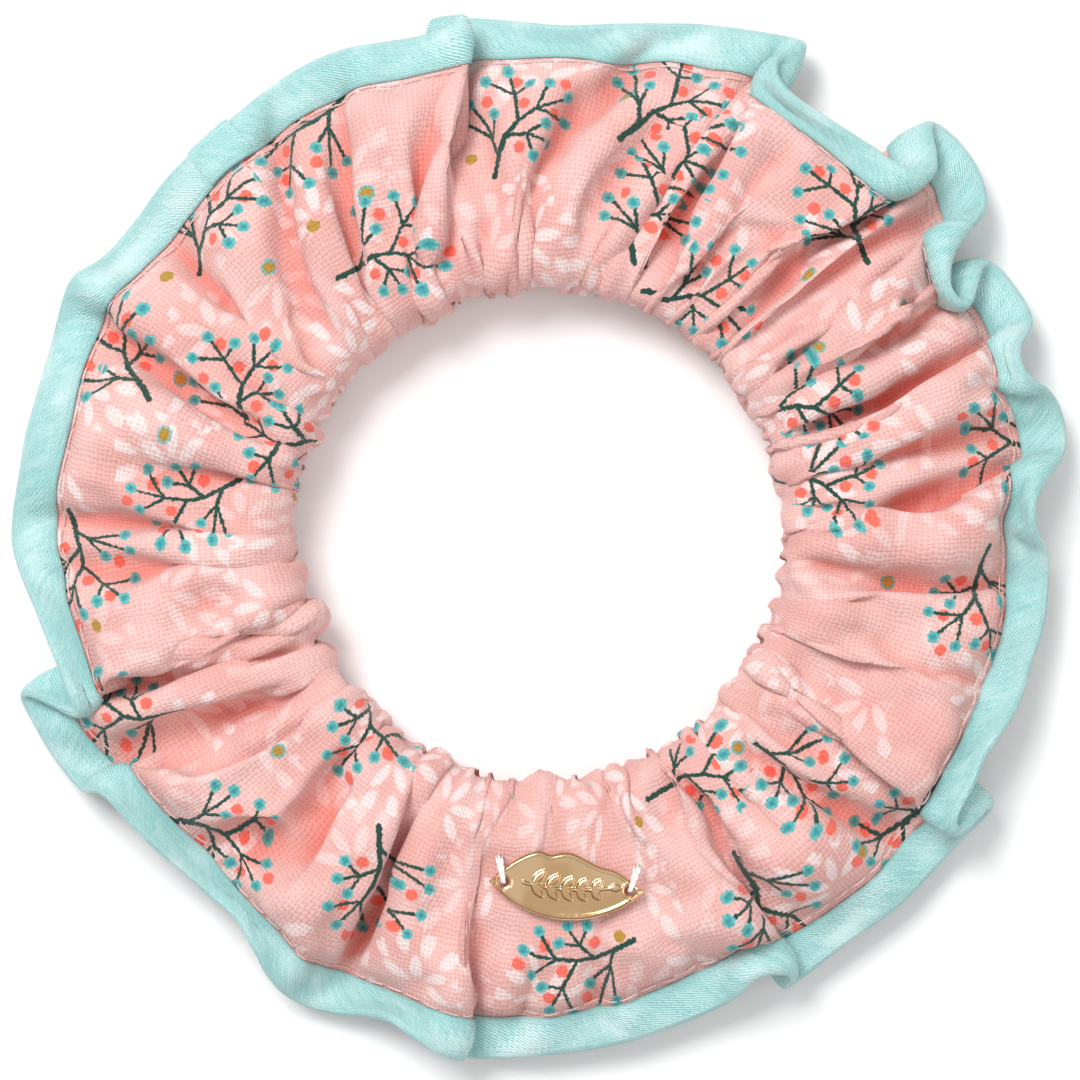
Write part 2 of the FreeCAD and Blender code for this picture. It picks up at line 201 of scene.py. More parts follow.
# The hem's outer fold, clockwise from the bottom: x, y and height. Where the ruffle doubles back over
# itself the path reverses, at a different height.
HEM = [
    (10.2, -57.4, 5.0), (4.4, -58.6, 4.6), (-1.4, -59.3, 4.2), (-5.8, -59.6, 3.6), (-9.2, -59.5, 3.2),
    (-11.2, -58.9, 4.2), (-9.4, -59.2, 6.2), (-8.8, -59.5, 7.6), (-11.6, -58.5, 8.6), (-14.3, -56.5, 8.8),
    (-16.9, -54.7, 7.6), (-19.5, -54.2, 5.6), (-22.7, -54.5, 3.8), (-26.1, -53.9, 3.4), (-28.9, -52.4, 4.4),
    (-30.8, -50.0, 6.2), (-32.1, -47.1, 7.6), (-33.8, -43.8, 7.6), (-37.3, -40.9, 5.6), (-40.6, -38.0, 6.2),
    (-43.2, -35.6, 7.4), (-46.1, -32.6, 8.6), (-48.5, -29.8, 9.2), (-50.1, -28.8, 8.4), (-51.5, -29.2, 5.8),
    (-53.1, -28.1, 3.6), (-55.9, -24.6, 3.0), (-58.4, -20.3, 3.2), (-59.4, -18.3, 4.0), (-58.0, -18.2, 5.6),
    (-55.2, -19.2, 6.6), (-52.8, -20.2, 7.4), (-52.2, -19.8, 9.0), (-53.1, -17.0, 9.4), (-54.6, -13.7, 8.6),
    (-57.0, -8.3, 7.0), (-59.2, -3.4, 5.4), (-60.0, -0.8, 4.8), (-59.8, 2.5, 4.8), (-59.0, 6.8, 5.6),
    (-58.2, 11.1, 6.6), (-56.6, 16.9, 6.2), (-55.1, 22.7, 5.2), (-53.9, 27.1, 6.4), (-52.6, 29.5, 7.6),
    (-50.3, 30.6, 6.6), (-48.3, 32.6, 5.2), (-45.7, 35.8, 5.0), (-43.2, 39.3, 5.6), (-40.3, 42.3, 6.6),
    (-35.3, 46.6, 7.0), (-31.6, 49.8, 6.2), (-28.1, 52.4, 5.6), (-24.7, 54.1, 6.2), (-21.5, 55.0, 7.2),
    (-17.1, 55.7, 7.2), (-13.4, 56.4, 6.8), (-10.6, 57.4, 8.0), (-8.4, 58.6, 9.6), (-9.2, 58.8, 7.6),
    (-12.2, 58.5, 5.8), (-11.6, 58.5, 4.0), (-8.2, 58.8, 3.4), (-2.6, 58.3, 4.2), (2.3, 57.6, 6.0),
    (6.8, 57.7, 6.2), (12.5, 58.0, 5.2), (18.2, 58.0, 4.2), (24.6, 57.4, 3.6), (29.4, 56.6, 3.6),
    (30.4, 56.2, 5.0), (28.8, 55.2, 6.6), (26.8, 53.8, 8.2), (26.5, 51.8, 10.0), (27.8, 49.4, 10.6),
    (31.2, 47.2, 10.4), (37.0, 43.8, 10.0), (39.9, 41.7, 10.0), (42.2, 41.0, 10.2), (44.4, 41.1, 9.6),
    (44.8, 43.0, 8.0), (44.4, 45.6, 6.6), (44.6, 47.0, 5.2), (46.4, 46.2, 4.0), (49.0, 43.4, 3.8),
    (50.6, 39.8, 4.4), (50.4, 37.2, 6.2), (48.4, 34.4, 8.2), (46.7, 32.3, 9.4), (46.0, 30.0, 10.2),
    (46.1, 27.7, 10.6), (47.2, 25.9, 10.2), (48.4, 26.0, 9.0), (49.4, 28.4, 7.4), (50.2, 30.6, 6.0),
    (51.4, 31.0, 4.6), (53.4, 29.2, 3.8), (55.2, 26.6, 4.0), (56.0, 24.2, 5.2), (54.3, 21.9, 7.8),
    (53.8, 20.0, 9.4), (55.2, 17.6, 9.2), (57.2, 16.7, 7.2), (58.8, 15.1, 5.0), (59.8, 12.6, 4.0),
    (59.6, 9.6, 4.8), (57.6, 6.7, 7.4), (56.0, 4.6, 9.2), (55.5, 2.4, 9.6), (56.0, 0.0, 8.4),
    (57.5, -2.0, 6.4), (57.6, -5.0, 5.4), (57.2, -9.7, 5.6), (55.7, -14.2, 6.4), (54.0, -19.3, 7.6),
    (51.8, -22.4, 8.8), (49.8, -25.0, 9.6), (48.8, -27.9, 10.0), (47.2, -30.4, 10.4), (46.5, -32.6, 10.4),
    (47.6, -33.8, 9.0), (49.8, -31.8, 7.2), (51.6, -30.4, 5.6), (51.0, -31.8, 4.0), (48.3, -34.3, 3.8),
    (45.0, -37.8, 4.0), (41.0, -41.9, 4.4), (34.9, -46.2, 4.8), (30.2, -50.0, 4.2), (27.8, -51.8, 4.4),
    (28.6, -50.8, 6.4), (28.6, -49.8, 8.0), (26.6, -49.3, 8.8), (24.4, -49.9, 8.4), (22.8, -51.8, 7.2),
    (20.0, -53.6, 5.8), (16.0, -55.4, 5.2),
]


# ---- small helpers ------------------------------------------------------------------------------------
def unit(v):
    return v / np.maximum(np.linalg.norm(v, axis=-1, keepdims=True), 1e-9)


def smooth_step(share):
    """From 0 to 1 with soft ends, for a share from 0 to 1."""
    return share * share * (3 - 2 * share)


def direction(degrees):
    """The cosine and sine of an angle in degrees."""
    return math.cos(math.radians(degrees)), math.sin(math.radians(degrees))


def cubic(a, b, c, d, f):
    """A Catmull-Rom curve's place at f, from 0 to 1, between b and c."""
    return 0.5 * (2 * b + (c - a) * f + (2 * a - 5 * b + 4 * c - d) * f ** 2
                  + (3 * b - a - 3 * c + d) * f ** 3)


def search_tree(points):
    """A tree for finding which points lie near a place."""
    tree = kdtree.KDTree(len(points))
    for k, p in enumerate(points):
        tree.insert(p, k)
    tree.balance()
    return tree


def smooth_ring(values, sigma):
    """Gaussian smoothing along the first axis of values on a closed loop, sigma in samples."""
    reach = int(3 * sigma) + 1
    weights = np.exp(-0.5 * (np.arange(-reach, reach + 1) / sigma) ** 2)
    weights /= weights.sum()
    total = np.zeros_like(values)
    for k, w in zip(range(-reach, reach + 1), weights):
        total += w * np.roll(values, k, axis=0)
    return total


def closed_spline(points, per_span=24):
    """A centripetal Catmull-Rom curve through a closed list of points."""
    p = np.asarray(points, float)
    p0, p1, p2, p3 = np.roll(p, 1, 0), p, np.roll(p, -1, 0), np.roll(p, -2, 0)
    d01, d12, d23 = (np.linalg.norm(b - a, axis=1)[:, None] ** 0.5 for a, b in ((p0, p1), (p1, p2), (p2, p3)))
    out = []
    for f in np.linspace(0, 1, per_span, endpoint=False):
        t = d01 + f * d12
        a1 = (d01 - t) / d01 * p0 + t / d01 * p1
        a2 = (d01 + d12 - t) / d12 * p1 + (t - d01) / d12 * p2
        a3 = (d01 + d12 + d23 - t) / d23 * p2 + (t - d01 - d12) / d23 * p3
        b1 = (d01 + d12 - t) / (d01 + d12) * a1 + t / (d01 + d12) * a2
        b2 = (d01 + d12 + d23 - t) / (d12 + d23) * a2 + (t - d01) / (d12 + d23) * a3
        out.append((d01 + d12 - t) / d12 * b1 + (t - d01) / d12 * b2)
    return np.stack(out, 1).reshape(-1, 3)


def resample_closed(curve, count):
    """count points at equal distances along a closed curve, and its length."""
    step = np.linalg.norm(np.roll(curve, -1, 0) - curve, axis=1)
    along = np.concatenate([[0], np.cumsum(step)])
    closed = np.vstack([curve, curve[:1]])
    at = np.linspace(0, along[-1], count, endpoint=False)
    return np.stack([np.interp(at, along, closed[:, k]) for k in range(3)], 1), along[-1]


# ---- the hem and the gathered start -------------------------------------------------------------------
def hem_frame(count):
    """Points on the hem's fold, their inward directions across the tape, and the length of the hem."""
    curve = closed_spline(HEM)
    points, length = resample_closed(curve, count)
    points = smooth_ring(points, 0.55 * count / length)
    tangent = unit(np.roll(points, -1, 0) - np.roll(points, 1, 0))
    inward = unit(-points * [1, 1, 0])
    across = inward - (inward * tangent).sum(1, keepdims=True) * tangent
    across = unit(smooth_ring(across, 1.2 * count / length))
    return points, across, length


def edge_normals(hem, across):
    """The direction square to the tape along the hem's fold."""
    return unit(np.cross(across, unit(np.roll(hem, -1, 0) - np.roll(hem, 1, 0))))


def segment_distance(x, y, ends):
    """How far points lie from a segment, in plan, and how far along it they are, from 0 to 1."""
    (ax, ay), (bx, by) = ends
    dx, dy = bx - ax, by - ay
    along = np.clip(((x - ax) * dx + (y - ay) * dy) / (dx * dx + dy * dy), 0, 1)
    return np.hypot(x - ax - along * dx, y - ay - along * dy), along


def stack_room(middle, per_mm):
    """How far a layer may stand from the middle surface before it meets the next fold of a stack."""
    n, m = middle.shape[:2]
    flat = middle.reshape(-1, 3)
    tree = search_tree([(p[0], p[1], 0) for p in flat])
    room = np.full(len(flat), 99.0)
    for k, p in enumerate(flat):
        for _, other, _ in tree.find_range((p[0], p[1], 0), 2.6):
            apart = abs(other // m - k // m)
            if min(apart, n - apart) > 3.2 * per_mm:
                room[k] = min(room[k], abs(flat[other, 2] - p[2]) / 2.2)
    return room.reshape(n, m)


def start_shape(count, rows):
    """The gathered casing before it relaxes: count columns round, rows from the top hem to the bottom hem."""
    rng = np.random.default_rng(SEED)
    hem, across, length = hem_frame(count)
    angle = np.unwrap(np.arctan2(hem[:, 1], hem[:, 0]))
    trend = angle[0] - TAU * np.arange(count) / count
    drift = smooth_ring(angle - trend, 14 * count / length)
    inner_angle = trend + INNER_DRIFT * drift
    radius = np.hypot(hem[:, 0], hem[:, 1])
    mid_row = (rows - 1) // 2
    depth = np.arange(mid_row + 1) * STRIP_WIDTH / (rows - 1)         # along the cloth from the hem's fold
    share = depth / depth[-1]
    ease = np.clip(share / FLAT_SHARE, 0, 1)
    turn = np.clip((share - FLAT_SHARE) / (1 - FLAT_SHARE), 0, 1) * math.pi / 2
    fold = smooth_step(np.clip(ease / 0.8, 0, 1))
    # the middle surface between the two layers
    theta = angle[:, None] * (1 - fold) + inner_angle[:, None] * fold
    inner_r = OPENING + INNER_ROUND_R
    r = radius[:, None] * (1 - ease) + inner_r * ease
    z = hem[:, 2:3] * (1 - fold) + MIDDLE * fold
    middle = np.stack([r * np.cos(theta), r * np.sin(theta), z * np.ones_like(r)], 2)
    band = hem[:, None] + across[:, None] * depth[None, :, None]
    blend = smooth_step(np.clip((depth - TAPE_SIDE * 0.6) / 8.0, 0, 1))[None, :, None]
    middle = band * (1 - blend) + middle * blend
    # its normal, and how far the layers stand from it
    down = np.gradient(middle, axis=1)
    round_ = np.roll(middle, -1, 0) - np.roll(middle, 1, 0)
    normal = unit(smooth_ring(unit(np.cross(down, round_)), 1.0 * count / length))
    half = (INNER_TOP - INNER_BOTTOM) / 2
    swell = np.clip((depth - TAPE_SIDE) / 22.0, 0, 1)
    swell = half * swell * swell * (3 - 2 * swell)
    room = smooth_ring(np.minimum(stack_room(middle, count / length), half), 1.5 * count / length)
    swell = np.maximum(LAYER, np.minimum(swell * np.abs(normal[..., 2]), room))
    free = np.clip(room / half * 2 - 1, 0, 1)[..., None]
    upright = np.where(normal[..., 2:3] < 0, -1.0, 1.0) * [0, 0, 1]
    normal = unit(normal * (1 - free) + upright * free)
    offset = swell * np.cos(turn)
    radial = unit(middle * [1, 1, 0])
    s = np.arange(count) / count
    layers = []
    for side in (1, -1):
        waves = np.zeros((count, mid_row + 1))
        for n, low, high, size in GATHERS:
            wander = smooth_ring(rng.normal(0, 1, (count, 1)), 9 * count / length)
            wander *= 1.2 / max(wander.std(), 1e-9)
            strength = smooth_ring(rng.normal(0, 1, (count, 1)), 7 * count / length)
            strength = 1 + 0.45 * strength / max(strength.std(), 1e-9)
            phase = TAU * n * s[:, None] + wander + rng.uniform(0, TAU)
            centre, spread = (low + high) / 2, (high - low) / 2
            window = np.clip(1 - ((share - centre) / spread) ** 2, 0, 1)
            waves += size * np.sin(phase) * strength * window
        waves *= np.clip(swell / 3.0, 0, 1)
        level = np.maximum(offset + (waves - 0.8 * ease) * np.cos(turn), LAYER)
        layer = middle + side * normal * level[..., None]
        inset = INNER_ROUND_R * np.sin(turn)
        layer = layer - radial * (inset - 0.5 * waves * np.sin(turn))[..., None]
        if side > 0:
            for ends, width, height in FOLDS:
                away, along = segment_distance(layer[..., 0], layer[..., 1], ends)
                fade = np.sin(math.pi * np.clip(along * 0.8 + 0.1, 0, 1))
                rise = FOLD_GAIN * height * np.exp(-(away / width) ** 2) * fade * blend[..., 0]
                layer[..., 2] += np.maximum(rise, -0.9 * swell) * np.clip(swell / 2.5, 0, 1)
        layers.append(layer)
    top, bottom = layers
    shape = np.concatenate([top[:, :-1], bottom[:, ::-1]], 1)
    shape[:, mid_row] = (top[:, -1] + bottom[:, -1]) / 2
    return shape, hem, edge_normals(hem, across)


# ---- relaxing the cloth -------------------------------------------------------------------------------
def pull(a, b, rest, stiff):
    """Half of the move that brings the distance a to b to its rest length."""
    d = b - a
    dist = np.maximum(np.linalg.norm(d, axis=-1, keepdims=True), 1e-6)
    return d * (0.5 * stiff * (dist - rest[..., None]) / dist)


def pair_rows(x, rest, stiff):
    """Keeps the spacing down each column."""
    for start in (0, 1):
        last = (x.shape[1] - start) // 2 * 2 + start
        a, b = x[:, start:last:2], x[:, start + 1:last:2]
        move = pull(a, b, np.full(a.shape[:2], rest), stiff)
        a += move
        b -= move


def pair_columns(x, rest_of_row, stiff):
    """Keeps the spacing along each row, round the loop."""
    n = x.shape[0]
    a, b = x[0:n:2], x[1:n:2]
    rest = np.broadcast_to(rest_of_row, a.shape[:2])
    move = pull(a, b, rest, stiff)
    a += move
    b -= move
    odd = np.roll(x, -1, 0)
    a, b = odd[0:n:2], odd[1:n:2]
    move = pull(a, b, rest, stiff)
    a += move
    b -= move
    x[:] = np.roll(odd, 1, 0)


def pair_diagonals(x, rest_of_row, rest_t, stiff):
    """Keeps the grid square."""
    n = x.shape[0]
    rest_row = np.sqrt(((rest_of_row[:-1] + rest_of_row[1:]) / 2) ** 2 + rest_t ** 2)
    for shift in (0, 1):
        work = np.roll(x, -shift, 0) if shift else x
        left, right = work[0:n:2], work[1:n:2]
        rest = np.broadcast_to(rest_row, (n // 2, rest_row.size))
        for a, b in ((left[:, :-1], right[:, 1:]), (right[:, :-1], left[:, 1:])):
            move = pull(a, b, rest, stiff)
            a += move
            b -= move
        if shift:
            x[:] = np.roll(work, 1, 0)


def soften(x, amount_s, amount_t):
    """Takes out tight curvature, as the cloth's stiffness does."""
    lap = (np.roll(x, 1, 0) + np.roll(x, -1, 0)) / 2 - x
    x -= amount_s * ((np.roll(lap, 1, 0) + np.roll(lap, -1, 0)) / 2 - lap)
    lap = np.zeros_like(x)
    lap[:, 1:-1] = (x[:, :-2] + x[:, 2:]) / 2 - x[:, 1:-1]
    bend = np.zeros_like(x)
    bend[:, 1:-1] = (lap[:, :-2] + lap[:, 2:]) / 2 - lap[:, 1:-1]
    x -= amount_t * bend


def keep_apart(x, gap, skip):
    """Pushes apart points that come nearer than gap, other than neighbours in the grid."""
    n, m = x.shape[:2]
    flat = x.reshape(-1, 3)
    tree = search_tree(flat)
    first, second = [], []
    for k, p in enumerate(flat):
        for _, other, _ in tree.find_range(p, gap):
            if other > k:
                first.append(k)
                second.append(other)
    if not first:
        return
    a, b = np.array(first), np.array(second)
    di = np.abs(a // m - b // m)
    di = np.minimum(di, n - di)
    dj = np.abs(a % m - b % m)
    keep = np.maximum(di, dj) > skip
    a, b = a[keep], b[keep]
    if not len(a):
        return
    d = flat[b] - flat[a]
    dist = np.maximum(np.linalg.norm(d, axis=1, keepdims=True), 1e-6)
    move = d * (0.5 * np.maximum(gap - dist, 0) / dist)
    total = np.zeros_like(flat)
    count = np.zeros((len(flat), 1))
    np.add.at(total, a, -move)
    np.add.at(total, b, move)
    np.add.at(count, a, 1)
    np.add.at(count, b, 1)
    flat += total / np.maximum(count, 1)


def charm_distance(x):
    """How far points are from the charm in plan, where 1 is a little outside its edge."""
    return np.hypot((x[..., 0] - CHARM_X) / 12.0, (x[..., 1] - CHARM_Y) / 7.0)


def ceiling(x):
    """The height the cloth may rise to: lower under the charm, which lies on it."""
    return UNDER_CHARM + (HIGHEST - UNDER_CHARM) * np.clip(charm_distance(x) - 0.8, 0, 1)


def relax(x, hem, normal, length, rounds, apart_every, gap, stiffness):
    """Lets the gathered casing find its folds, with the hem held near its path."""
    n, m = x.shape[:2]
    rest_t = STRIP_WIDTH / (m - 1)
    mid_row = (m - 1) // 2
    rows = np.arange(m)
    share = 1 - np.abs(rows - mid_row) / mid_row
    depth = np.minimum(rows, m - 1 - rows) * rest_t
    full = 1 - GATHERED_IN * np.clip((share - 0.5) / 0.4, 0, 1) ** 1.3
    wall = x[:, mid_row].copy()
    rest_row = length / n * full
    side = np.where(rows <= mid_row, 1.0, -1.0)
    bound = depth < TAPE_SIDE + 0.4
    inner = np.abs(rows - mid_row) * rest_t < 3.2
    for step in range(rounds):
        pair_columns(x, rest_row, 0.9)
        pair_rows(x, rest_t, 0.9)
        pair_diagonals(x, rest_row, rest_t, 0.35)
        soften(x, stiffness, stiffness)
        # the two layers in the hem stay together
        top, bottom = x[:, :mid_row][:, bound[:mid_row]], x[:, ::-1][:, :mid_row][:, bound[:mid_row]]
        centre = (top + bottom) / 2
        gap_now = top - bottom
        size = np.linalg.norm(gap_now, axis=2, keepdims=True)
        gap_now *= 2 * LAYER / np.maximum(size, 1e-6)
        idx = np.where(bound[:mid_row])[0]
        x[:, idx] = centre + gap_now / 2
        x[:, m - 1 - idx] = centre - gap_now / 2
        # the hem's fold is held
        for row, sign in ((0, 1), (m - 1, -1)):
            x[:, row] += 0.5 * (hem + sign * LAYER * normal - x[:, row])
        # the inner wall lies round the elastic
        r = np.hypot(x[..., 0], x[..., 1])
        wall_r = np.clip(r, OPENING - 1.1, ELASTIC_INNER - 0.45)
        target = np.where(inner[None, :], wall_r, np.maximum(r, OPENING - 0.8))
        scale = np.where(r > 1e-6, target / np.maximum(r, 1e-6), 1)
        x[..., 0] *= scale
        x[..., 1] *= scale
        x[:, mid_row] += 0.15 * (wall - x[:, mid_row])
        over = (~inner)[None, :] & (target < ELASTIC_INNER + ELASTIC_THICKNESS + 0.5)
        edge = np.where(side > 0, ELASTIC_HIGH + 0.55, ELASTIC_LOW - 0.55)
        short = np.maximum((edge - x[..., 2]) * side, 0)
        x[..., 2] += np.where(over, 0.5 * short * side, 0)
        # puffed a little, and resting on the table under its own weight
        under = np.clip(1.25 - charm_distance(x), 0, 1) * (side > 0)
        x[..., 2] += 0.1 * under * np.maximum(UNDER_CHARM - 1.7 - x[..., 2], 0)
        depth_in = (~bound)[None, :]
        x[..., 2] += np.where(depth_in & (side > 0)[None, :], 0.012, -0.004)
        x[..., 2] -= 0.3 * np.maximum(x[..., 2] - ceiling(x), 0)
        np.maximum(x[..., 2], 0.35, out=x[..., 2])
        if apart_every and step % apart_every == apart_every - 1:
            keep_apart(x, gap, 2)
    return x


def refine(x, hem_count, rows):
    """The coarse shape on the fine grid, by cubic steps."""
    n, m = x.shape[:2]
    place = np.arange(hem_count) * n / hem_count
    base = np.floor(place).astype(int)
    x = cubic(*(x[(base + k) % n] for k in (-1, 0, 1, 2)), (place - base)[:, None, None])
    place = np.linspace(0, m - 1, rows)
    base = np.minimum(np.floor(place).astype(int), m - 2)
    return cubic(*(x[:, np.clip(base + k, 0, m - 1)] for k in (-1, 0, 1, 2)), (place - base)[None, :, None])


def polish(x, rounds, limit):
    """Rounds off only the roughest points of the grid."""
    for _ in range(rounds):
        mean = (np.roll(x, 1, 0) + np.roll(x, -1, 0)) / 4
        mean[:, 1:-1] += (x[:, 2:] + x[:, :-2]) / 4
        mean[:, 0] += x[:, 0] / 2
        mean[:, -1] += x[:, -1] / 2
        rough = np.linalg.norm(mean - x, axis=2, keepdims=True)
        x += (mean - x) * 0.6 * np.clip(rough / limit - 0.6, 0, 1)
    return x


def grid_normals(x):
    """The outward direction at each point of a grid that closes round."""
    down = np.gradient(x, axis=1)
    round_ = np.roll(x, -1, 0) - np.roll(x, 1, 0)
    return unit(np.cross(down, round_))


def wrinkle_field(rng, count, rows, step_s, step_t, size_s, size_t):
    """A smooth random field over the cloth, of unit spread, that runs on round the loop."""
    noise = np.fft.fft2(rng.normal(0, 1, (count, rows)))
    fs = np.fft.fftfreq(count, step_s)[:, None]
    ft = np.fft.fftfreq(rows, step_t)[None, :]
    noise *= np.exp(-2 * (math.pi * fs * size_s) ** 2 - 2 * (math.pi * ft * size_t) ** 2)
    field = np.real(np.fft.ifft2(noise))
    return field / field.std()


def spread_under_charm(x, step_s, step_t):
    """The charm's threads hold the top layer drawn flat round it, so only wide folds are left there."""
    count, rows = x.shape[:2]
    depth = np.arange(rows) * step_t
    held = np.clip((depth - TAPE_SIDE - 1) / 3, 0, 1) * np.clip((STRIP_WIDTH / 2 - depth) / 5, 0, 1)
    held = held[None, :] * np.clip(2.0 - charm_distance(x), 0, 1)
    calm = smooth_ring(x.reshape(count, -1), 2.4 / step_s).reshape(x.shape)
    return x + (calm - x) * held[..., None]


def open_share(x, step_s):
    """From 1 on open cloth down to 0.25 where it is bent so tightly that a crumple would cross itself."""
    reach = int(round(1.2 / step_s))
    ahead, behind = np.roll(x, -reach, 0) - x, x - np.roll(x, reach, 0)
    bend = np.linalg.norm(ahead - behind, axis=2)
    for _ in range(3):
        bend = np.maximum(bend, (np.roll(bend, 1, 0) + np.roll(bend, -1, 0)) / 2)
    return 1 - 0.75 * np.clip((bend - 0.4) / 0.9, 0, 1)


def hem_middle(grid, step_t):
    """The middle surface between the two layers at the hem, and its normal, in rows from the hem's fold."""
    reach = int((TAPE_SIDE + 2.2) / step_t) + 1
    count = len(grid)
    top, bottom = grid[:, :reach], grid[:, ::-1][:, :reach]
    middle = smooth_ring(((top + bottom) / 2).reshape(count, -1), 0.7).reshape(count, reach, 3)
    normal = smooth_ring(grid_normals(middle).reshape(count, -1), 1.2).reshape(count, reach, 3)
    return middle, unit(normal)


def make_cloth():
    """The relaxed casing, on the grid that its piece is built from, and the same with no crumple."""
    _, _, length = hem_frame(800)
    coarse_n = int(round(length / (GRID_STEP * COARSE) / 2)) * 2
    coarse_m = int(round(STRIP_WIDTH / (GRID_STEP * COARSE) / 2)) * 2 + 1
    shape, hem, normal = start_shape(coarse_n, coarse_m)
    shape = relax(shape, hem, normal, length, rounds=260, apart_every=6, gap=1.9, stiffness=0.02)
    fine_n, fine_m = coarse_n * COARSE, (coarse_m - 1) * COARSE + 1
    hem, across, _ = hem_frame(fine_n)
    shape = relax(refine(shape, fine_n, fine_m), hem, edge_normals(hem, across), length,
                  rounds=140, apart_every=10, gap=0.95, stiffness=0.03)
    shape = polish(shape, rounds=10, limit=0.35)
    count, rows = coarse_n * FINAL, (coarse_m - 1) * FINAL + 1
    smooth = polish(refine(shape, count, rows), rounds=8, limit=0.22)
    rng = np.random.default_rng(SEED + 1)
    step_s, step_t = length / count, STRIP_WIDTH / (rows - 1)
    smooth = spread_under_charm(smooth, step_s, step_t)
    crumple = sum(size * wrinkle_field(rng, count, rows, step_s, step_t, *spread)
                  for size, spread in CRUMPLES)
    depth = np.minimum(np.arange(rows), rows - 1 - np.arange(rows)) * step_t
    crumple *= np.clip((depth - TAPE_SIDE) / 2.0, 0.06, 1)
    crumple *= np.clip(charm_distance(smooth) - 0.2, 0.3, 1)
    crumple *= open_share(smooth, step_s)
    puffs = np.clip(wrinkle_field(rng, count, rows, step_s, step_t, 3.2, 6.0), 0, PUFF_LIMIT)
    from_wall = (depth - STRIP_WIDTH / 2 + 1) / 6.0
    crumple += PUFF * puffs * np.exp(-from_wall * from_wall)
    # over and round the elastic the cloth can only stand off it
    crumple = np.maximum(crumple, -1.5 + 1.45 * np.clip((depth - 22) / 3.0, 0, 1))
    cloth = polish(smooth + grid_normals(smooth) * crumple[..., None], rounds=3, limit=0.2)
    np.maximum(cloth[..., 2], TABLE_GAP, out=cloth[..., 2])
    high = np.maximum(cloth[..., 2] - UNDER_CHARM, 0)
    cloth[..., 2] -= np.where(charm_distance(cloth) < 1.0, high * high / (high + 0.4), 0)

    # the raw edges, pressed flat inside the tape
    middle, normal = hem_middle(smooth, step_t)
    for j in range(rows):
        inward = min(j, rows - 1 - j)
        share = np.clip((inward * step_t - TAPE_SIDE) / 2.0, 0, 1)
        if share == 1:
            continue
        k = min(max(inward, 1), middle.shape[1] - 1)
        side = 1 if j < rows / 2 else -1
        pressed = middle[:, k] + normal[:, k] * side * 0.8 * LAYER
        cloth[:, j] += (pressed - cloth[:, j]) * (1 - share)
    return cloth, smooth, length


CLOTH, SMOOTH_CLOTH, HEM_LENGTH = make_cloth()
COUNT, ROWS = CLOTH.shape[:2]
STEP_S, STEP_T = HEM_LENGTH / COUNT, STRIP_WIDTH / (ROWS - 1)


# ---- meshes -------------------------------------------------------------------------------------------
def new_piece(name, points, faces, material):
    """A mesh piece from points in millimetres."""
    mesh = bpy.data.meshes.new(name)
    mesh.from_pydata((np.asarray(points).reshape(-1, 3) * MM).tolist(), [], [list(f) for f in faces])
    mesh.materials.append(material)
    mesh.shade_smooth()
    piece = bpy.data.objects.new(name, mesh)
    bpy.context.scene.collection.objects.link(piece)
    return piece


def grid_faces(count, rows, closed_rows=False, closed_columns=True):
    """Faces of a grid of points [round, across]: their corners as grid indices, outward side up."""
    i = np.arange(count if closed_columns else count - 1)[:, None]
    j = np.arange(rows if closed_rows else rows - 1)[None, :]
    i2, j2 = (i + 1) % count, (j + 1) % rows
    corners = np.stack([i * rows + j, i * rows + j2, i2 * rows + j2, i2 * rows + j], 2)
    return corners.reshape(-1, 4)


def grid_corners(count, rows):
    """Flat place of each face corner of an open grid, in steps, without a jump where the loop closes."""
    i = np.arange(count)[:, None] + np.zeros((1, rows - 1))
    j = np.arange(rows - 1)[None, :] + np.zeros((count, 1))
    s = np.stack([i, i, i + 1, i + 1], 2).reshape(-1)
    t = np.stack([j, j + 1, j + 1, j], 2).reshape(-1)
    return s, t


def corner_points(piece):
    """The mesh point at each face corner."""
    points = np.zeros(len(piece.data.loops), int)
    piece.data.loops.foreach_get("vertex_index", points)
    return points


def corner_attribute(piece, name, x, y, z=0.0):
    values = np.stack([x, y, np.broadcast_to(z, x.shape)], 1).astype(np.float32)
    attribute = piece.data.attributes.new(name, "FLOAT_VECTOR", "CORNER")
    attribute.data.foreach_set("vector", values.reshape(-1))


def point_attribute(piece, name, values):
    attribute = piece.data.attributes.new(name, "FLOAT", "POINT")
    attribute.data.foreach_set("value", np.asarray(values, np.float32).reshape(-1))


def stretch_with_ring(piece):
    """Bakes the piece's placement into its mesh points."""
    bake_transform(piece)


# ---- the print ----------------------------------------------------------------------------------------
def round_gap(a, b):
    """How far a is past b round the strip, the short way."""
    return (a - b + HEM_LENGTH / 2) % HEM_LENGTH - HEM_LENGTH / 2


def print_places(centres):
    """For each face of the casing, the nearest of the given flat centres."""
    s = (np.arange(COUNT)[:, None] + 0.5 + np.zeros((1, ROWS - 1))) * STEP_S
    t = (np.arange(ROWS - 1)[None, :] + 0.5 + np.zeros((COUNT, 1))) * STEP_T
    s, t = s.reshape(-1), t.reshape(-1)
    best = np.full(s.shape, 1e9)
    which = np.zeros(s.shape, int)
    for k, (cs, ct) in enumerate(centres):
        ds = round_gap(s, cs)
        away = ds * ds + (t - ct) ** 2
        nearer = away < best
        best[nearer] = away[nearer]
        which[nearer] = k
    return which


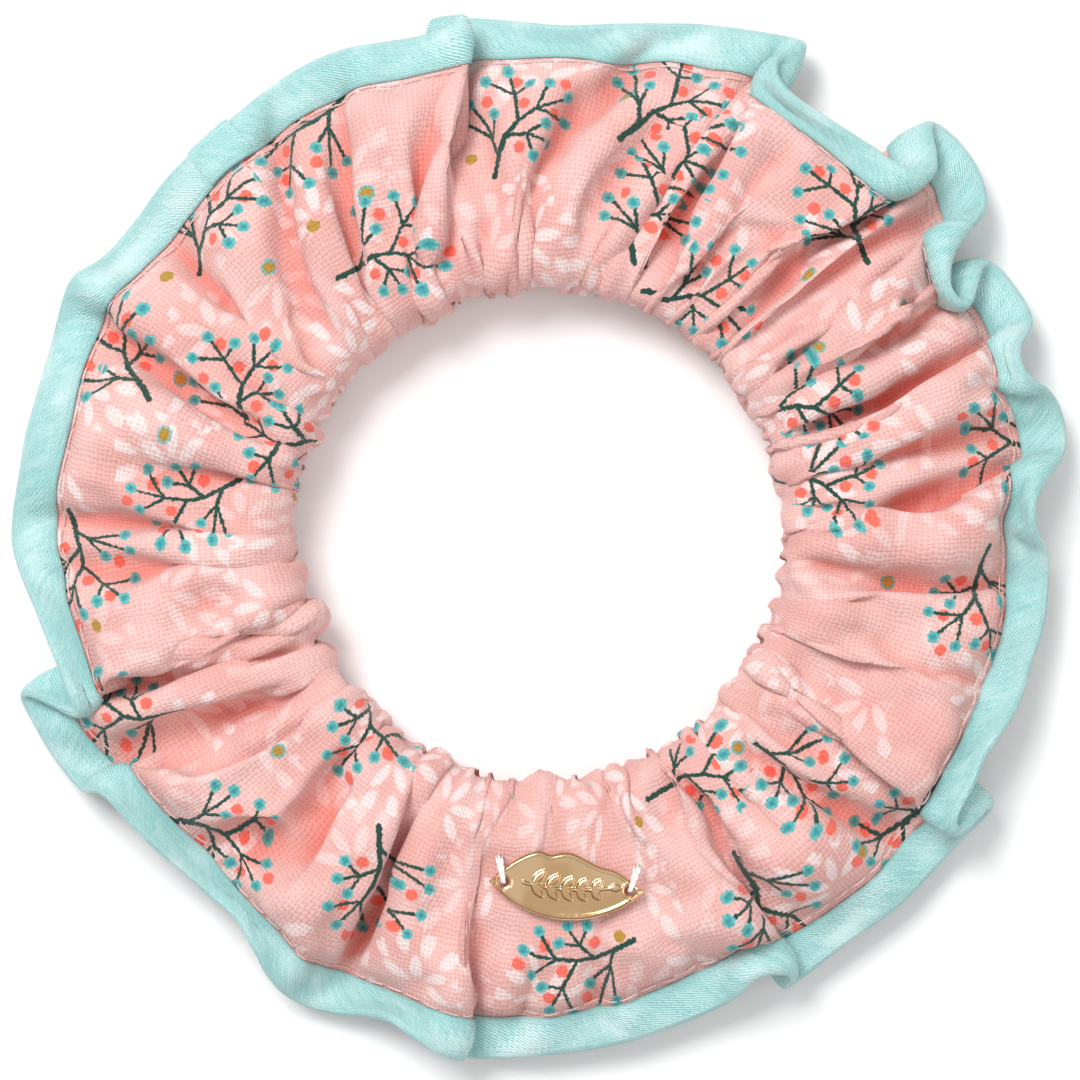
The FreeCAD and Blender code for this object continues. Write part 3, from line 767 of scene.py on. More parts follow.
def local_print(piece, name, centres, turns, extra, plan=None):
    """Stores, on every face corner, its place in the frame of the nearest motif.

    plan gives a motif's place and heading as seen from above; such a motif lies mostly by those, on the top
    layer, so that it stays whole across the gathers.
    """
    which = print_places(centres)
    if plan is not None:
        half = ROWS // 2
        away = [np.hypot(SMOOTH_CLOTH[:, :half, 0] - x, SMOOTH_CLOTH[:, :half, 1] - y) for x, y, _ in plan]
        seen_near = np.zeros((COUNT, ROWS - 1), bool)
        lies_up = grid_normals(SMOOTH_CLOTH)[:, :half, 2] > STEEPEST
        seen_near[:, :half] = (np.min(away, 0) < SPRIG_REACH_PLAN) & lies_up
        which = which.reshape(COUNT, ROWS - 1)
        which[:, :half] = np.where(seen_near[:, :half], np.argmin(away, 0), which[:, :half])
        seen_near, which = np.repeat(seen_near.reshape(-1), 4), which.reshape(-1)
    which = np.repeat(which, 4)
    s, t = grid_corners(COUNT, ROWS)
    centres, turns, extra = np.array(centres), np.array(turns), np.array(extra)
    ds = round_gap(s * STEP_S, centres[which, 0]) / PRINT_STRETCH
    dt = t * STEP_T - centres[which, 1]
    c, sn = np.cos(turns[which]), np.sin(turns[which])
    x, y = ds * c + dt * sn, dt * c - ds * sn
    if plan is not None:
        seen = SMOOTH_CLOTH[s.astype(int) % COUNT, t.astype(int)]
        plan = np.array(plan + [(0, 0, 0)] * (len(centres) - len(plan)))
        px, py = seen[:, 0] - plan[which, 0], seen[:, 1] - plan[which, 1]
        turn = np.radians(plan[which, 2] - STEM_HEADING)
        flat_x, flat_y = x, y
        c, sn = np.cos(turn), np.sin(turn)
        share = np.where(charm_distance(plan) < 2.2, 1.0, PLAN_SHARE)[which]
        share = share + (1 - share) * np.clip((np.hypot(ds, dt) - 7.0) / 6.0, 0, 1)
        x = flat_x + (px * c + py * sn - flat_x) * share
        y = flat_y * HAND + (py * c - px * sn - flat_y * HAND) * share
        # on the underside and past its reach there is nothing of such a motif
        listed = which < len(SPRIGS)
        x = np.where(seen_near, x, np.where(listed, NOWHERE, flat_x))
        y = np.where(seen_near, y, flat_y * HAND)
    corner_attribute(piece, name, x, y, extra[which])


def flat_place(x, y, heading):
    """The casing's flat place under (x, y), seen from above, and a heading's direction in the flat cloth."""
    away = np.hypot(SMOOTH_CLOTH[..., 0] - x, SMOOTH_CLOTH[..., 1] - y) - 0.12 * SMOOTH_CLOTH[..., 2]
    facing = grid_normals(SMOOTH_CLOTH)[..., 2] > 0.15
    i, j = np.unravel_index(np.argmin(np.where(facing, away, 1e9)), away.shape)
    reach = 3
    along = SMOOTH_CLOTH[(i + reach) % COUNT, j] - SMOOTH_CLOTH[(i - reach) % COUNT, j]
    down = SMOOTH_CLOTH[i, min(j + reach, ROWS - 1)] - SMOOTH_CLOTH[i, max(j - reach, 0)]
    want = np.array([*direction(heading), 0])
    turn = math.atan2(np.dot(unit(down), want), np.dot(unit(along), want))
    return i * STEP_S, j * STEP_T, turn


def lay_print(piece):
    """Sprigs where they show on top, and more of the same all round the cloth."""
    rng = np.random.default_rng(SEED + 2)
    s, t = grid_corners(COUNT, ROWS)
    corner_attribute(piece, "cloth_place", s * STEP_S, t * STEP_T)
    centres, turns, extra = [], [], []
    for x, y, heading in SPRIGS:
        cs, ct, turn = flat_place(x, y, heading)
        centres.append((cs, ct))
        turns.append(turn - HAND * math.radians(STEM_HEADING))
        extra.append(1.0)
    rows, steps = 3, 24
    for row in range(rows):
        for step in range(steps):
            cs = (step + rng.uniform(-0.2, 0.2) + 0.5 * (row % 2)) * HEM_LENGTH / steps
            ct = 13 + 22 * row + rng.uniform(-3, 3)
            far = [math.hypot(round_gap(cs, a), ct - b) for a, b in centres]
            turn = rng.uniform(0, TAU)
            if ct < STRIP_WIDTH / 2 + 5 or min(far) < SPRIG_SPACING:
                continue
            centres.append((cs, ct))
            turns.append(turn)
            extra.append(1.0)
    local_print(piece, "sprig_place", centres, turns, extra, plan=list(SPRIGS))
    sprigs = list(centres)

    centres, turns, extra = [], [], []
    rows, steps = 6, 42
    for row in range(rows):
        for step in range(steps):
            centres.append(((step + 0.5 * (row % 2) + rng.uniform(-0.25, 0.25)) * HEM_LENGTH / steps,
                            (row + 0.5 + rng.uniform(-0.25, 0.25)) * STRIP_WIDTH / rows))
            turns.append(rng.uniform(0, TAU))
            extra.append(rng.uniform(0, 1))
    local_print(piece, "fan_place", centres, turns, extra)

    centres = [flat_place(x, y, 0)[:2] for x, y in DOTS]
    for _ in range(DOT_TRIES):
        place = (rng.uniform(0, HEM_LENGTH), rng.uniform(8, STRIP_WIDTH - 8))
        if min(math.hypot(round_gap(place[0], a), place[1] - b) for a, b in centres + sprigs) > DOT_SPACING:
            centres.append(place)
    local_print(piece, "dot_place", centres, [0.0] * len(centres), rng.uniform(0, 1, len(centres)))


# ---- shader nodes -------------------------------------------------------------------------------------
class Tree:
    """Short ways to add nodes to one material."""

    def __init__(self, name):
        self.material = bpy.data.materials.new(name)
        self.material.use_nodes = True
        self.nodes = self.material.node_tree.nodes
        self.links = self.material.node_tree.links
        self.shader = self.nodes["Principled BSDF"]

    def put(self, socket, value):
        if isinstance(value, bpy.types.NodeSocket):
            self.links.new(value, socket)
        elif value is not None:
            socket.default_value = value

    def attribute(self, name, output="Vector"):
        node = self.nodes.new("ShaderNodeAttribute")
        node.attribute_name = name
        return node.outputs[output]

    def math(self, operation, a, b=None, clamp=False):
        node = self.nodes.new("ShaderNodeMath")
        node.operation = operation
        node.use_clamp = clamp
        self.put(node.inputs[0], a)
        if b is not None:
            self.put(node.inputs[1], b)
        return node.outputs[0]

    def vector(self, operation, a, b=None, scale=None):
        node = self.nodes.new("ShaderNodeVectorMath")
        node.operation = operation
        self.put(node.inputs[0], a)
        if b is not None:
            self.put(node.inputs[1], b)
        if scale is not None:
            self.put(node.inputs["Scale"], scale)
        return node.outputs["Value" if operation in ("DISTANCE", "LENGTH", "DOT_PRODUCT") else "Vector"]

    def split(self, vector):
        node = self.nodes.new("ShaderNodeSeparateXYZ")
        self.put(node.inputs[0], vector)
        return node.outputs[0], node.outputs[1], node.outputs[2]

    def join(self, x, y, z=0.0):
        node = self.nodes.new("ShaderNodeCombineXYZ")
        for socket, value in zip(node.inputs, (x, y, z)):
            self.put(socket, value)
        return node.outputs[0]

    def noise(self, vector, scale, detail=2.0, output="Fac"):
        node = self.nodes.new("ShaderNodeTexNoise")
        self.put(node.inputs["Vector"], vector)
        node.inputs["Scale"].default_value = scale
        node.inputs["Detail"].default_value = detail
        return node.outputs[output]

    def ramp(self, value, low, high, out_low=0.0, out_high=1.0):
        """Smoothly from out_low at low to out_high at high."""
        node = self.nodes.new("ShaderNodeMapRange")
        node.interpolation_type = "SMOOTHSTEP"
        for socket, amount in zip(list(node.inputs)[:5], (value, low, high, out_low, out_high)):
            self.put(socket, amount)
        return node.outputs[0]

    def mix(self, share, a, b, blend="MIX"):
        node = self.nodes.new("ShaderNodeMix")
        node.data_type = "RGBA"
        node.blend_type = blend
        self.put(node.inputs["Factor"], share)
        self.put(node.inputs[6], (*a, 1) if isinstance(a, tuple) else a)
        self.put(node.inputs[7], (*b, 1) if isinstance(b, tuple) else b)
        return node.outputs[2]

    def bump(self, height, strength, distance):
        node = self.nodes.new("ShaderNodeBump")
        node.inputs["Strength"].default_value = strength
        node.inputs["Distance"].default_value = distance
        self.put(node.inputs["Height"], height)
        self.put(self.shader.inputs["Normal"], node.outputs[0])

    def finish(self, colour, roughness, **constants):
        self.put(self.shader.inputs["Base Color"], colour)
        self.put(self.shader.inputs["Roughness"], roughness)
        for name, value in constants.items():
            self.shader.inputs[name.replace("_", " ")].default_value = value
        return self.material

    def segment(self, point, start, stop, half_width):
        """Distance of the point from a drawn line, less the line's half-width."""
        ax, ay = start
        bx, by = stop[0] - ax, stop[1] - ay
        square = bx * bx + by * by
        from_start = self.vector("SUBTRACT", point, (ax, ay, 0))
        along = self.vector("DOT_PRODUCT", from_start, (bx / square, by / square, 0))
        along = self.math("MULTIPLY", along, 1.0, clamp=True)
        nearest = self.vector("SCALE", (bx, by, 0), scale=along)
        return self.math("SUBTRACT", self.vector("DISTANCE", from_start, nearest), half_width)

    def spot(self, point, centre, radius):
        return self.math("SUBTRACT", self.vector("DISTANCE", point, (*centre, 0)), radius)

    def nearest(self, distances):
        result = distances[0]
        for other in distances[1:]:
            result = self.math("MINIMUM", result, other)
        return result


def weave(tree, place, pitch, wander):
    """Plain weave: the height of its threads, and its holes."""
    drift = tree.noise(place, 0.35, 2.0, "Color")
    drift = tree.vector("SCALE", tree.vector("SUBTRACT", drift, (0.5, 0.5, 0.5)), scale=wander)
    x, y, _ = tree.split(tree.vector("ADD", place, drift))
    x = tree.math("MULTIPLY", x, 1 / pitch)
    y = tree.math("MULTIPLY", y, 1 / pitch)
    warp = tree.math("ABSOLUTE", tree.math("SINE", tree.math("MULTIPLY", x, math.pi)))
    weft = tree.math("ABSOLUTE", tree.math("SINE", tree.math("MULTIPLY", y, math.pi)))
    parity = tree.math("ADD", tree.math("FLOOR", x), tree.math("FLOOR", y))
    parity = tree.math("ABSOLUTE", tree.math("MODULO", parity, 2.0))
    over = tree.math("MULTIPLY", warp, parity)
    under = tree.math("MULTIPLY", weft, tree.math("SUBTRACT", 1.0, parity))
    height = tree.math("ADD", tree.math("MAXIMUM", over, under), tree.math("MULTIPLY", warp, weft))
    hole = tree.ramp(tree.math("MAXIMUM", warp, weft), 0.58, 0.2)
    return height, hole


def gauze_material(name, printed):
    tree = Tree(name)
    place = tree.attribute("cloth_place")
    height, hole = weave(tree, place, WEAVE_PITCH, 1.3)
    fleck = tree.noise(place, 2.2, 3.0)
    broad = tree.noise(place, 0.11, 2.0)
    colour = tree.mix(tree.ramp(broad, 0.35, 0.65), PINK, PINK_PALE)
    if printed:
        ragged = tree.vector("SUBTRACT", tree.noise(place, 2.6, 2.0, "Color"), (0.5, 0.5, 0.5))
        ragged = tree.vector("SCALE", tree.vector("MULTIPLY", ragged, (1, 1, 0)), scale=0.55)
        colour = petal_fans(tree, colour, ragged)
        colour = mustard_dots(tree, colour, ragged)
        colour = sprigs(tree, colour, ragged)
    # painted shade: the bottoms of folds are tinted a saturated coral, standing in for light bounced into
    # them
    crease_shade = tree.attribute("crease_shade", "Fac")
    if printed:
        colour = tree.mix(tree.math("MULTIPLY", crease_shade, 0.85), colour, CREASE_SHADE, "MULTIPLY")
    # painted shade: the weave's holes are darkened
    colour = tree.mix(tree.math("MULTIPLY", hole, 0.5), colour, HOLE_SHADE, "MULTIPLY")
    # painted shade: the threads darken where they dip low in the weave
    colour = tree.mix(tree.ramp(height, 0.4, 1.6, 0.30, 0.0), colour, (0.95, 0.74, 0.71), "MULTIPLY")
    colour = tree.mix(tree.ramp(fleck, 0.3, 0.75, 0.0, 0.45), colour, (1.0, 0.86, 0.84), "MULTIPLY")
    fuzz = tree.math("ADD", height, tree.math("MULTIPLY", fleck, 0.6))
    tree.bump(fuzz, 0.45, FIBRE_HEIGHT)
    roughness = tree.ramp(fleck, 0.2, 0.8, 0.78, 0.95)
    return tree.finish(colour, roughness, Sheen_Weight=0.18, Sheen_Roughness=0.6, Specular_IOR_Level=0.2)


def petal_fans(tree, colour, ragged):
    """Fans of pale brush strokes, in two rings round each centre."""
    place = tree.attribute("fan_place")
    x, y, pick = tree.split(place)
    moved = tree.vector("ADD", tree.join(x, y), tree.vector("SCALE", ragged, scale=0.7))
    mx, my, _ = tree.split(moved)
    reach = tree.vector("LENGTH", moved)
    turn = tree.math("ARCTAN2", my, mx)
    rings = []
    for petals, middle, half_length, half_width, half_fan in FAN_RINGS:
        cell = tree.math("FRACT", tree.math("ADD", tree.math("MULTIPLY", turn, petals / TAU), 8.0))
        side = tree.math("MULTIPLY", tree.math("SUBTRACT", cell, 0.5), reach)
        side = tree.math("MULTIPLY", side, TAU / petals / half_width)
        along = tree.math("MULTIPLY", tree.math("SUBTRACT", reach, middle), 1 / half_length)
        inside = tree.ramp(tree.vector("LENGTH", tree.join(side, along)), 1.25, 0.7)
        fan = tree.ramp(tree.math("ABSOLUTE", turn), half_fan + 0.12, half_fan - 0.12)
        rings.append(tree.math("MULTIPLY", inside, fan))
    mask = tree.math("MAXIMUM", rings[0], rings[1])
    mask = tree.math("MULTIPLY", mask, tree.ramp(pick, 0.1, 0.8, 0.3, 0.8))
    return tree.mix(mask, colour, PETAL)


def mustard_dots(tree, colour, ragged):
    x, y, pick = tree.split(tree.attribute("dot_place"))
    point = tree.vector("ADD", tree.join(x, y), ragged)
    away = tree.vector("LENGTH", point)
    ring = tree.math("MULTIPLY", tree.ramp(away, 0.95, 0.8), tree.ramp(pick, 0.35, 0.45))
    colour = tree.mix(ring, colour, TEAL_PALE)
    return tree.mix(tree.ramp(away, 0.72, 0.55), colour, MUSTARD)


def sprigs(tree, colour, ragged):
    """Branches with round berries."""
    x, y, _ = tree.split(tree.attribute("sprig_place"))
    point = tree.vector("ADD", tree.join(x, y), ragged)
    coral = tree.nearest([tree.spot(point, c, CORAL_RADIUS) for c in CORAL_BERRIES])
    colour = tree.mix(tree.ramp(coral, 0.1, -0.1), colour, CORAL)
    stems = tree.nearest([tree.segment(point, a, b, w) for a, b, w in STEMS])
    berries = tree.nearest([tree.spot(point, c, TEAL_RADIUS) for c in TEAL_BERRIES])
    stem_mask = tree.ramp(stems, 0.09, -0.04)
    colour = tree.mix(stem_mask, colour, STEM_GREEN)
    berry_colour = tree.mix(tree.ramp(berries, -0.12, -0.5), TEAL_PALE, TEAL)
    return tree.mix(tree.ramp(berries, 0.08, -0.08), colour, berry_colour)


def satin_material():
    """Ribbed satin tape: fine ribs across it, with painted shade in their troughs and towards the inner
    edges, and painted sheen highlights in soft bright bands where they change direction and in broad patches.
    """
    tree = Tree("ribbed_satin")
    place = tree.attribute("tape_place")
    s, u, _ = tree.split(place)
    slant = tree.noise(tree.join(s, 0.0), 0.03, 1.0)
    slant = tree.ramp(slant, 0.3, 0.7, 0.35, 1.0)
    rib = tree.math("ADD", s, tree.math("MULTIPLY", u, slant))
    stripes = tree.noise(tree.join(tree.math("MULTIPLY", rib, 2.2), tree.math("MULTIPLY", u, 0.25)), 1.0, 3.0)
    wave = tree.math("SINE", tree.math("MULTIPLY", rib, TAU / RIB_PITCH))
    grain = tree.math("SINE", tree.math("MULTIPLY", tree.math("SUBTRACT", u, s), TAU / GRAIN_PITCH))
    wave = tree.math("ADD", wave, tree.math("MULTIPLY", grain, 0.35))
    height = tree.math("ADD", tree.math("MULTIPLY", wave, 0.7), stripes)
    # painted shade: the satin darkens in the troughs of its ribs
    colour = tree.mix(tree.ramp(wave, -1.2, 0.9), MINT_SHADE, MINT)
    # painted highlight: soft bright bands of sheen where the ribs change direction
    colour = tree.mix(tree.ramp(stripes, 0.35, 0.7, 0.0, 0.35), colour, MINT_HIGHLIGHT)
    # painted highlight: broad pale patches of sheen along the tape
    broad = tree.noise(tree.join(tree.math("MULTIPLY", s, 0.12), tree.math("MULTIPLY", u, 0.2)), 1.0, 2.0)
    colour = tree.mix(tree.ramp(broad, 0.45, 0.75, 0.0, 0.6), colour, MINT_HIGHLIGHT)
    # painted shade: the tape darkens towards its inner edges, where it curves away
    outward = tree.math("ABSOLUTE", u)
    colour = tree.mix(tree.ramp(outward, 2.6, 4.6, 0.0, 0.35), colour, MINT_SHADE)
    tree.bump(height, 0.6, FIBRE_HEIGHT)
    roughness = tree.ramp(stripes, 0.25, 0.75, 0.24, 0.4)
    return tree.finish(colour, roughness, Sheen_Weight=0.25, Sheen_Roughness=0.35, Anisotropic=0.4,
                       Specular_IOR_Level=0.55)


def thread_material(name, colour, colour_dark):
    tree = Tree(name)
    place = tree.attribute("thread_place")
    s, u, _ = tree.split(place)
    twist = tree.math("SINE", tree.math("MULTIPLY", tree.math("ADD", s, u), TAU / TWIST_PITCH))
    fleck = tree.noise(place, 6.0, 2.0)
    # painted shade: the thread darkens in the grooves between its twisted plies; the flecks below darken it
    # at random
    shade = tree.mix(tree.ramp(twist, -1.0, 0.6), colour_dark, colour)
    shade = tree.mix(tree.ramp(fleck, 0.3, 0.7, 0.0, 0.4), shade, colour_dark)
    tree.bump(tree.math("ADD", twist, fleck), 0.6, 0.00005)
    return tree.finish(shade, tree.ramp(fleck, 0.3, 0.7, 0.5, 0.7), Sheen_Weight=0.3)


def elastic_material():
    tree = Tree("knit_elastic")
    s, u, _ = tree.split(tree.attribute("thread_place"))
    chain = tree.math("SINE", tree.math("MULTIPLY", u, TAU / 0.8))
    bead = tree.math("SINE", tree.math("MULTIPLY", s, TAU / 0.6))
    knit = tree.math("ADD", chain, tree.math("MULTIPLY", bead, 0.6))
    # painted shade: the knit darkens in its grooves
    colour = tree.mix(tree.ramp(knit, -1.2, 0.8), (0.66, 0.65, 0.62), (0.9, 0.89, 0.86))
    tree.bump(knit, 0.7, 0.0002)
    return tree.finish(colour, tree.ramp(knit, -1.0, 1.0, 0.85, 0.7), Sheen_Weight=0.1)


def gold_material():
    """Polished light gold plating, with the faint waves of a stamped part and hairline wear."""
    tree = Tree("polished_gold")
    place = tree.nodes.new("ShaderNodeTexCoord").outputs["Object"]
    wave = tree.noise(place, 210.0, 1.0)
    scuff = tree.noise(tree.vector("MULTIPLY", place, (0.35, 1.6, 1.0)), 5200.0, 3.0)
    colour = tree.mix(tree.ramp(wave, 0.35, 0.65), GOLD_DEEP, GOLD)
    height = tree.math("ADD", wave, tree.math("MULTIPLY", scuff, 0.02))
    tree.bump(height, 0.3, 0.0004)
    return tree.finish(colour, tree.ramp(scuff, 0.35, 0.75, 0.1, 0.24), Metallic=1.0)


# ---- pieces of cloth ----------------------------------------------------------------------------------
def crease_shade_share(points):
    """How much painted shade the cloth gets: from 0 on open cloth to 1 at the bottom of a fold, whether
    narrow or wide.
    """
    normal = grid_normals(points)
    crease_shade = np.zeros(points.shape[:2])
    for reach, shallow, deep in ((2.4, 0.06, 0.8), (5.0, 0.5, 2.6)):
        width = int(round(reach / STEP_S))
        mean = points.copy()
        for k in range(1, width + 1):
            mean += np.roll(points, k, 0) + np.roll(points, -k, 0)
        mean /= 2 * width + 1
        rise = ((mean - points) * normal).sum(2)
        rise = (np.roll(rise, 1, 0) + rise + np.roll(rise, -1, 0)) / 3
        crease_shade = np.maximum(crease_shade, np.clip((rise - shallow) / (deep - shallow), 0, 1))
    return smooth_step(crease_shade)


def make_casing():
    """The printed layer: one strip, hem to hem round the elastic, gathered as it was sewn."""
    face = new_piece("casing_face", CLOTH, grid_faces(COUNT, ROWS), gauze_material("printed_gauze", True))
    # painted shade, by how deep in a fold each point lies
    point_attribute(face, "crease_shade", crease_shade_share(CLOTH))
    lay_print(face)
    stretch_with_ring(face)
    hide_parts("casing_face_near", "casing_face_far")

    # the plain layer inside it
    step = 2
    depth = np.minimum(np.arange(ROWS), ROWS - 1 - np.arange(ROWS)) * STEP_T
    gap = BACKING_GAP * np.clip((depth - TAPE_SIDE) / 5.0, 0.5, 1)
    inside = CLOTH - grid_normals(SMOOTH_CLOTH) * gap[None, :, None]
    inside = inside[:, ::step]
    count, rows = inside.shape[:2]
    plain = gauze_material("plain_gauze", False)
    backing = new_piece("casing_backing", inside, grid_faces(count, rows), plain)
    s, t = grid_corners(count, rows)
    corner_attribute(backing, "cloth_place", s * STEP_S, t * step * STEP_T)
    stretch_with_ring(backing)
    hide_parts("casing_backing_near", "casing_backing_far")


# half of the folded tape's section, from its turned-in edge to its outer fold: how far in from the
# hem's fold, and how far over the casing's surface
TAPE_SECTION = [
    (3.4, 0.05), (4.2, 0.05), (4.54, 0.08), (4.68, 0.15), (4.6, 0.24), (4.35, 0.32), (3.8, 0.46), (3.1, 0.58),
    (2.4, 0.63), (1.7, 0.62), (1.1, 0.56), (0.6, 0.46), (0.2, 0.32), (-0.08, 0.12),
]


def hem_section(columns, section, lift=None):
    """Points of a section that is wrapped round the hem, for each of the given columns of the grid."""
    middle, normal = hem_middle(SMOOTH_CLOTH, STEP_T)
    middle, normal = middle[columns], normal[columns]
    reach = middle.shape[1]
    outward = unit(middle[:, 0] - middle[:, 2])
    full = [(u, h, 1) for u, h in section] + [(-0.3, -LAYER, 1)] + [(u, h, -1) for u, h in section[::-1]]
    rows = []
    for u, h, side in full:
        row = min(max(u / STEP_T, 0.0), reach - 1.001)
        k, f = int(row), row - int(row)
        place = middle[:, k] * (1 - f) + middle[:, k + 1] * f
        place = place + outward * max(-u, 0)
        tilt = unit(normal[:, k] * (1 - f) + normal[:, k + 1] * f)
        height = np.full(len(columns), side * (LAYER + h))
        if lift is not None:
            height = height + side * lift * (0 if h == -LAYER else 1)
            place = place + outward * (lift * (u < 0.2))[:, None]
        rows.append(place + tilt * height[:, None])
    spread = np.array([-side * u if side > 0 else u for u, _, side in full])
    return np.stack(rows, 1), spread


def tape_attribute(piece, count, rows, spread, start=0.0, closed=True):
    """Stores each face corner's place along the tape and out from its fold."""
    i = np.arange(count if closed else count - 1)[:, None] + np.zeros((1, rows - 1))
    s = np.stack([i, i, i + 1, i + 1], 2).reshape(-1) * STEP_S + start
    low, high = spread[:-1], spread[1:]
    u = np.broadcast_to(np.stack([low, high, high, low], 1), (i.shape[0], rows - 1, 4)).reshape(-1)
    corner_attribute(piece, "tape_place", s, u)


def hem_column(degrees):
    """The column of the grid whose hem lies in the given direction."""
    x, y, _ = ring_point(JOIN_RADIUS, degrees, 0)
    return int(np.argmin(np.hypot(SMOOTH_CLOTH[:, 0, 0] - x, SMOOTH_CLOTH[:, 0, 1] - y)))


def make_tape():
    """The satin tape, folded over both raw edges, and the lap where its ends meet."""
    satin = satin_material()
    points, spread = hem_section(np.arange(COUNT), TAPE_SECTION)
    count, rows = points.shape[:2]
    tape = new_piece("satin_tape", points, grid_faces(count, rows), satin)
    tape.data.flip_normals()
    tape_attribute(tape, count, rows, spread)
    stretch_with_ring(tape)
    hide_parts("satin_binding_near", "satin_binding_far")

    # the lap: the tape's other end, folded under and laid over the first
    length = int(round(LAP_LENGTH / STEP_S))
    columns = (hem_column(JOIN_ANGLE) - length + np.arange(length + 1)) % COUNT
    ends = np.minimum(np.arange(length + 1), length - np.arange(length + 1)) * STEP_S
    lift = (TAPE_THICKNESS + 0.15) * np.clip(0.7 + ends / 0.5, 0, 1)
    points, spread = hem_section(columns, TAPE_SECTION[2:], lift)
    rows = points.shape[1]
    faces = grid_faces(length + 1, rows, closed_columns=False)
    lap = new_piece("tape_lap", points, faces, satin)
    lap.data.flip_normals()
    tape_attribute(lap, length + 1, rows, spread, start=LAP_PATTERN, closed=False)
    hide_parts("binding_lap")
    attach(lap, "far_half")


# ---- threads ------------------------------------------------------------------------------------------
def thread_run(path, radius, sides):
    """A round thread along a path of points: its points and faces, both ends thinner and closed."""
    path = np.asarray(path, float)
    tangent = unit(np.gradient(path, axis=0))
    helper = np.array([0.0, 0.0, 1.0]) if abs(tangent[0, 2]) < 0.9 else np.array([1.0, 0.0, 0.0])
    side = unit(np.cross(tangent, helper))
    up = np.cross(side, tangent)
    size = np.full(len(path), radius)
    size[0] = size[-1] = radius * 0.55
    turn = np.arange(sides) * TAU / sides
    ring = side[:, None] * np.cos(turn)[None, :, None] + up[:, None] * np.sin(turn)[None, :, None]
    points = path[:, None] + ring * size[:, None, None]
    faces = []
    for k in range(len(path) - 1):
        for m in range(sides):
            m2 = (m + 1) % sides
            faces.append((k * sides + m, k * sides + m2, (k + 1) * sides + m2, (k + 1) * sides + m))
    faces.append(tuple(range(sides - 1, -1, -1)))
    last = (len(path) - 1) * sides
    faces.append(tuple(last + m for m in range(sides)))
    return points.reshape(-1, 3), faces


def thread_piece(name, runs, material):
    """One piece of many thread runs, with the place along each run for the twist."""
    points, faces, along = [], [], []
    total = 0
    for path, radius, sides in runs:
        p, f = thread_run(path, radius, sides)
        faces += [tuple(v + total for v in face) for face in f]
        length = np.concatenate([[0], np.cumsum(np.linalg.norm(np.diff(path, axis=0), axis=1))])
        turn = np.arange(sides) * TWIST_PITCH / sides
        along.append(np.stack([np.repeat(length, sides), np.tile(turn, len(path))], 1))
        points.append(p)
        total += len(p)
    piece = new_piece(name, np.concatenate(points), faces, material)
    along = np.concatenate(along)
    corners = corner_points(piece)
    corner_attribute(piece, "thread_place", along[corners, 0], along[corners, 1])
    return piece


def edge_stitches(side):
    """A line of stitches beside the tape, on the top (1) or the underside (-1)."""
    rng = np.random.default_rng(SEED + 3 + side)
    grid = SMOOTH_CLOTH if side > 0 else SMOOTH_CLOTH[:, ::-1]
    normal = grid_normals(SMOOTH_CLOTH)
    normal = normal if side > 0 else normal[:, ::-1]
    wander = smooth_ring(rng.normal(0, 1, (COUNT, 1)), 12)[:, 0]
    depth = TAPE_SIDE + 0.75 + 0.25 * np.clip(wander / max(wander.std(), 1e-9), -1.5, 1.5)
    row = depth / STEP_T
    k = row.astype(int)
    f = (row - k)[:, None]
    i = np.arange(COUNT)
    line = grid[i, k] * (1 - f) + grid[i, k + 1] * f
    lift = normal[i, k]
    line = smooth_ring(line, 0.8)
    stitches = int(HEM_LENGTH / STITCH_PITCH)
    runs = []
    for n in range(stitches):
        start, stop = n / stitches * COUNT, (n + 0.84) / stitches * COUNT
        at = np.linspace(start, stop, 7)
        base = np.floor(at).astype(int)
        part = (at - base)[:, None]
        points = line[base % COUNT] * (1 - part) + line[(base + 1) % COUNT] * part
        up = unit(lift[base % COUNT])
        bow = np.sin(np.linspace(0, math.pi, 7)) ** 0.5 * 0.16 - 0.07
        runs.append((points + up * bow[:, None], STITCH_RADIUS, 6))
    return runs


def ring_point(radius, degrees, z):
    c, s = direction(degrees)
    return radius * c, radius * s, z


def make_threads():
    pink = thread_material("pink_thread", (0.93, 0.70, 0.67), (0.84, 0.52, 0.49))
    white = thread_material("white_thread", (0.93, 0.91, 0.88), (0.66, 0.63, 0.58))
    for side, name in ((1, "needle_thread"), (-1, "bobbin_thread")):
        thread = thread_piece(name + "_stitches", edge_stitches(side), pink)
        stretch_with_ring(thread)
        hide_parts(name + "_near", name + "_far")

    # the seam that joins the strip's ends, just inside the cloth
    column = hem_column(JOIN_ANGLE - 2)
    inside = CLOTH[column] - grid_normals(SMOOTH_CLOTH)[column] * (BACKING_GAP + 0.35)
    runs = [(inside[start:start + 4], 0.12, 6) for start in range(8, ROWS - 10, 4)]
    seam = thread_piece("casing_seam_stitches", runs, pink)
    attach(seam, "far_half")
    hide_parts("casing_seam_thread")

    # zigzag through the lapped elastic
    low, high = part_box("elastic_join_stitches")
    tab_degrees = math.degrees(TAB_LENGTH / OPENING)
    lie = ELASTIC_INNER + 2 * ELASTIC_THICKNESS + 0.2
    zigzag = []
    for k in range(13):
        height = (low[2], high[2])[k % 2] / MM
        zigzag.append(ring_point(lie, JOIN_ANGLE + tab_degrees * (0.12 + 0.76 * k / 12), height))
    join = thread_piece("elastic_zigzag", [(zigzag, 0.15, 8)], white)
    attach(join, "far_half")
    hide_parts("elastic_join_stitches")


def charm_place(x, y, z):
    """From the charm's own frame, length along X, to its place."""
    c, s = direction(CHARM_TILT)
    return CHARM_X + x * c - y * s, CHARM_Y + x * s + y * c, z


def cloth_height(x, y):
    """The top cloth's height under a point."""
    away = np.hypot(CLOTH[..., 0] - x, CLOTH[..., 1] - y)
    return CLOTH[..., 2][away < 0.8].max()


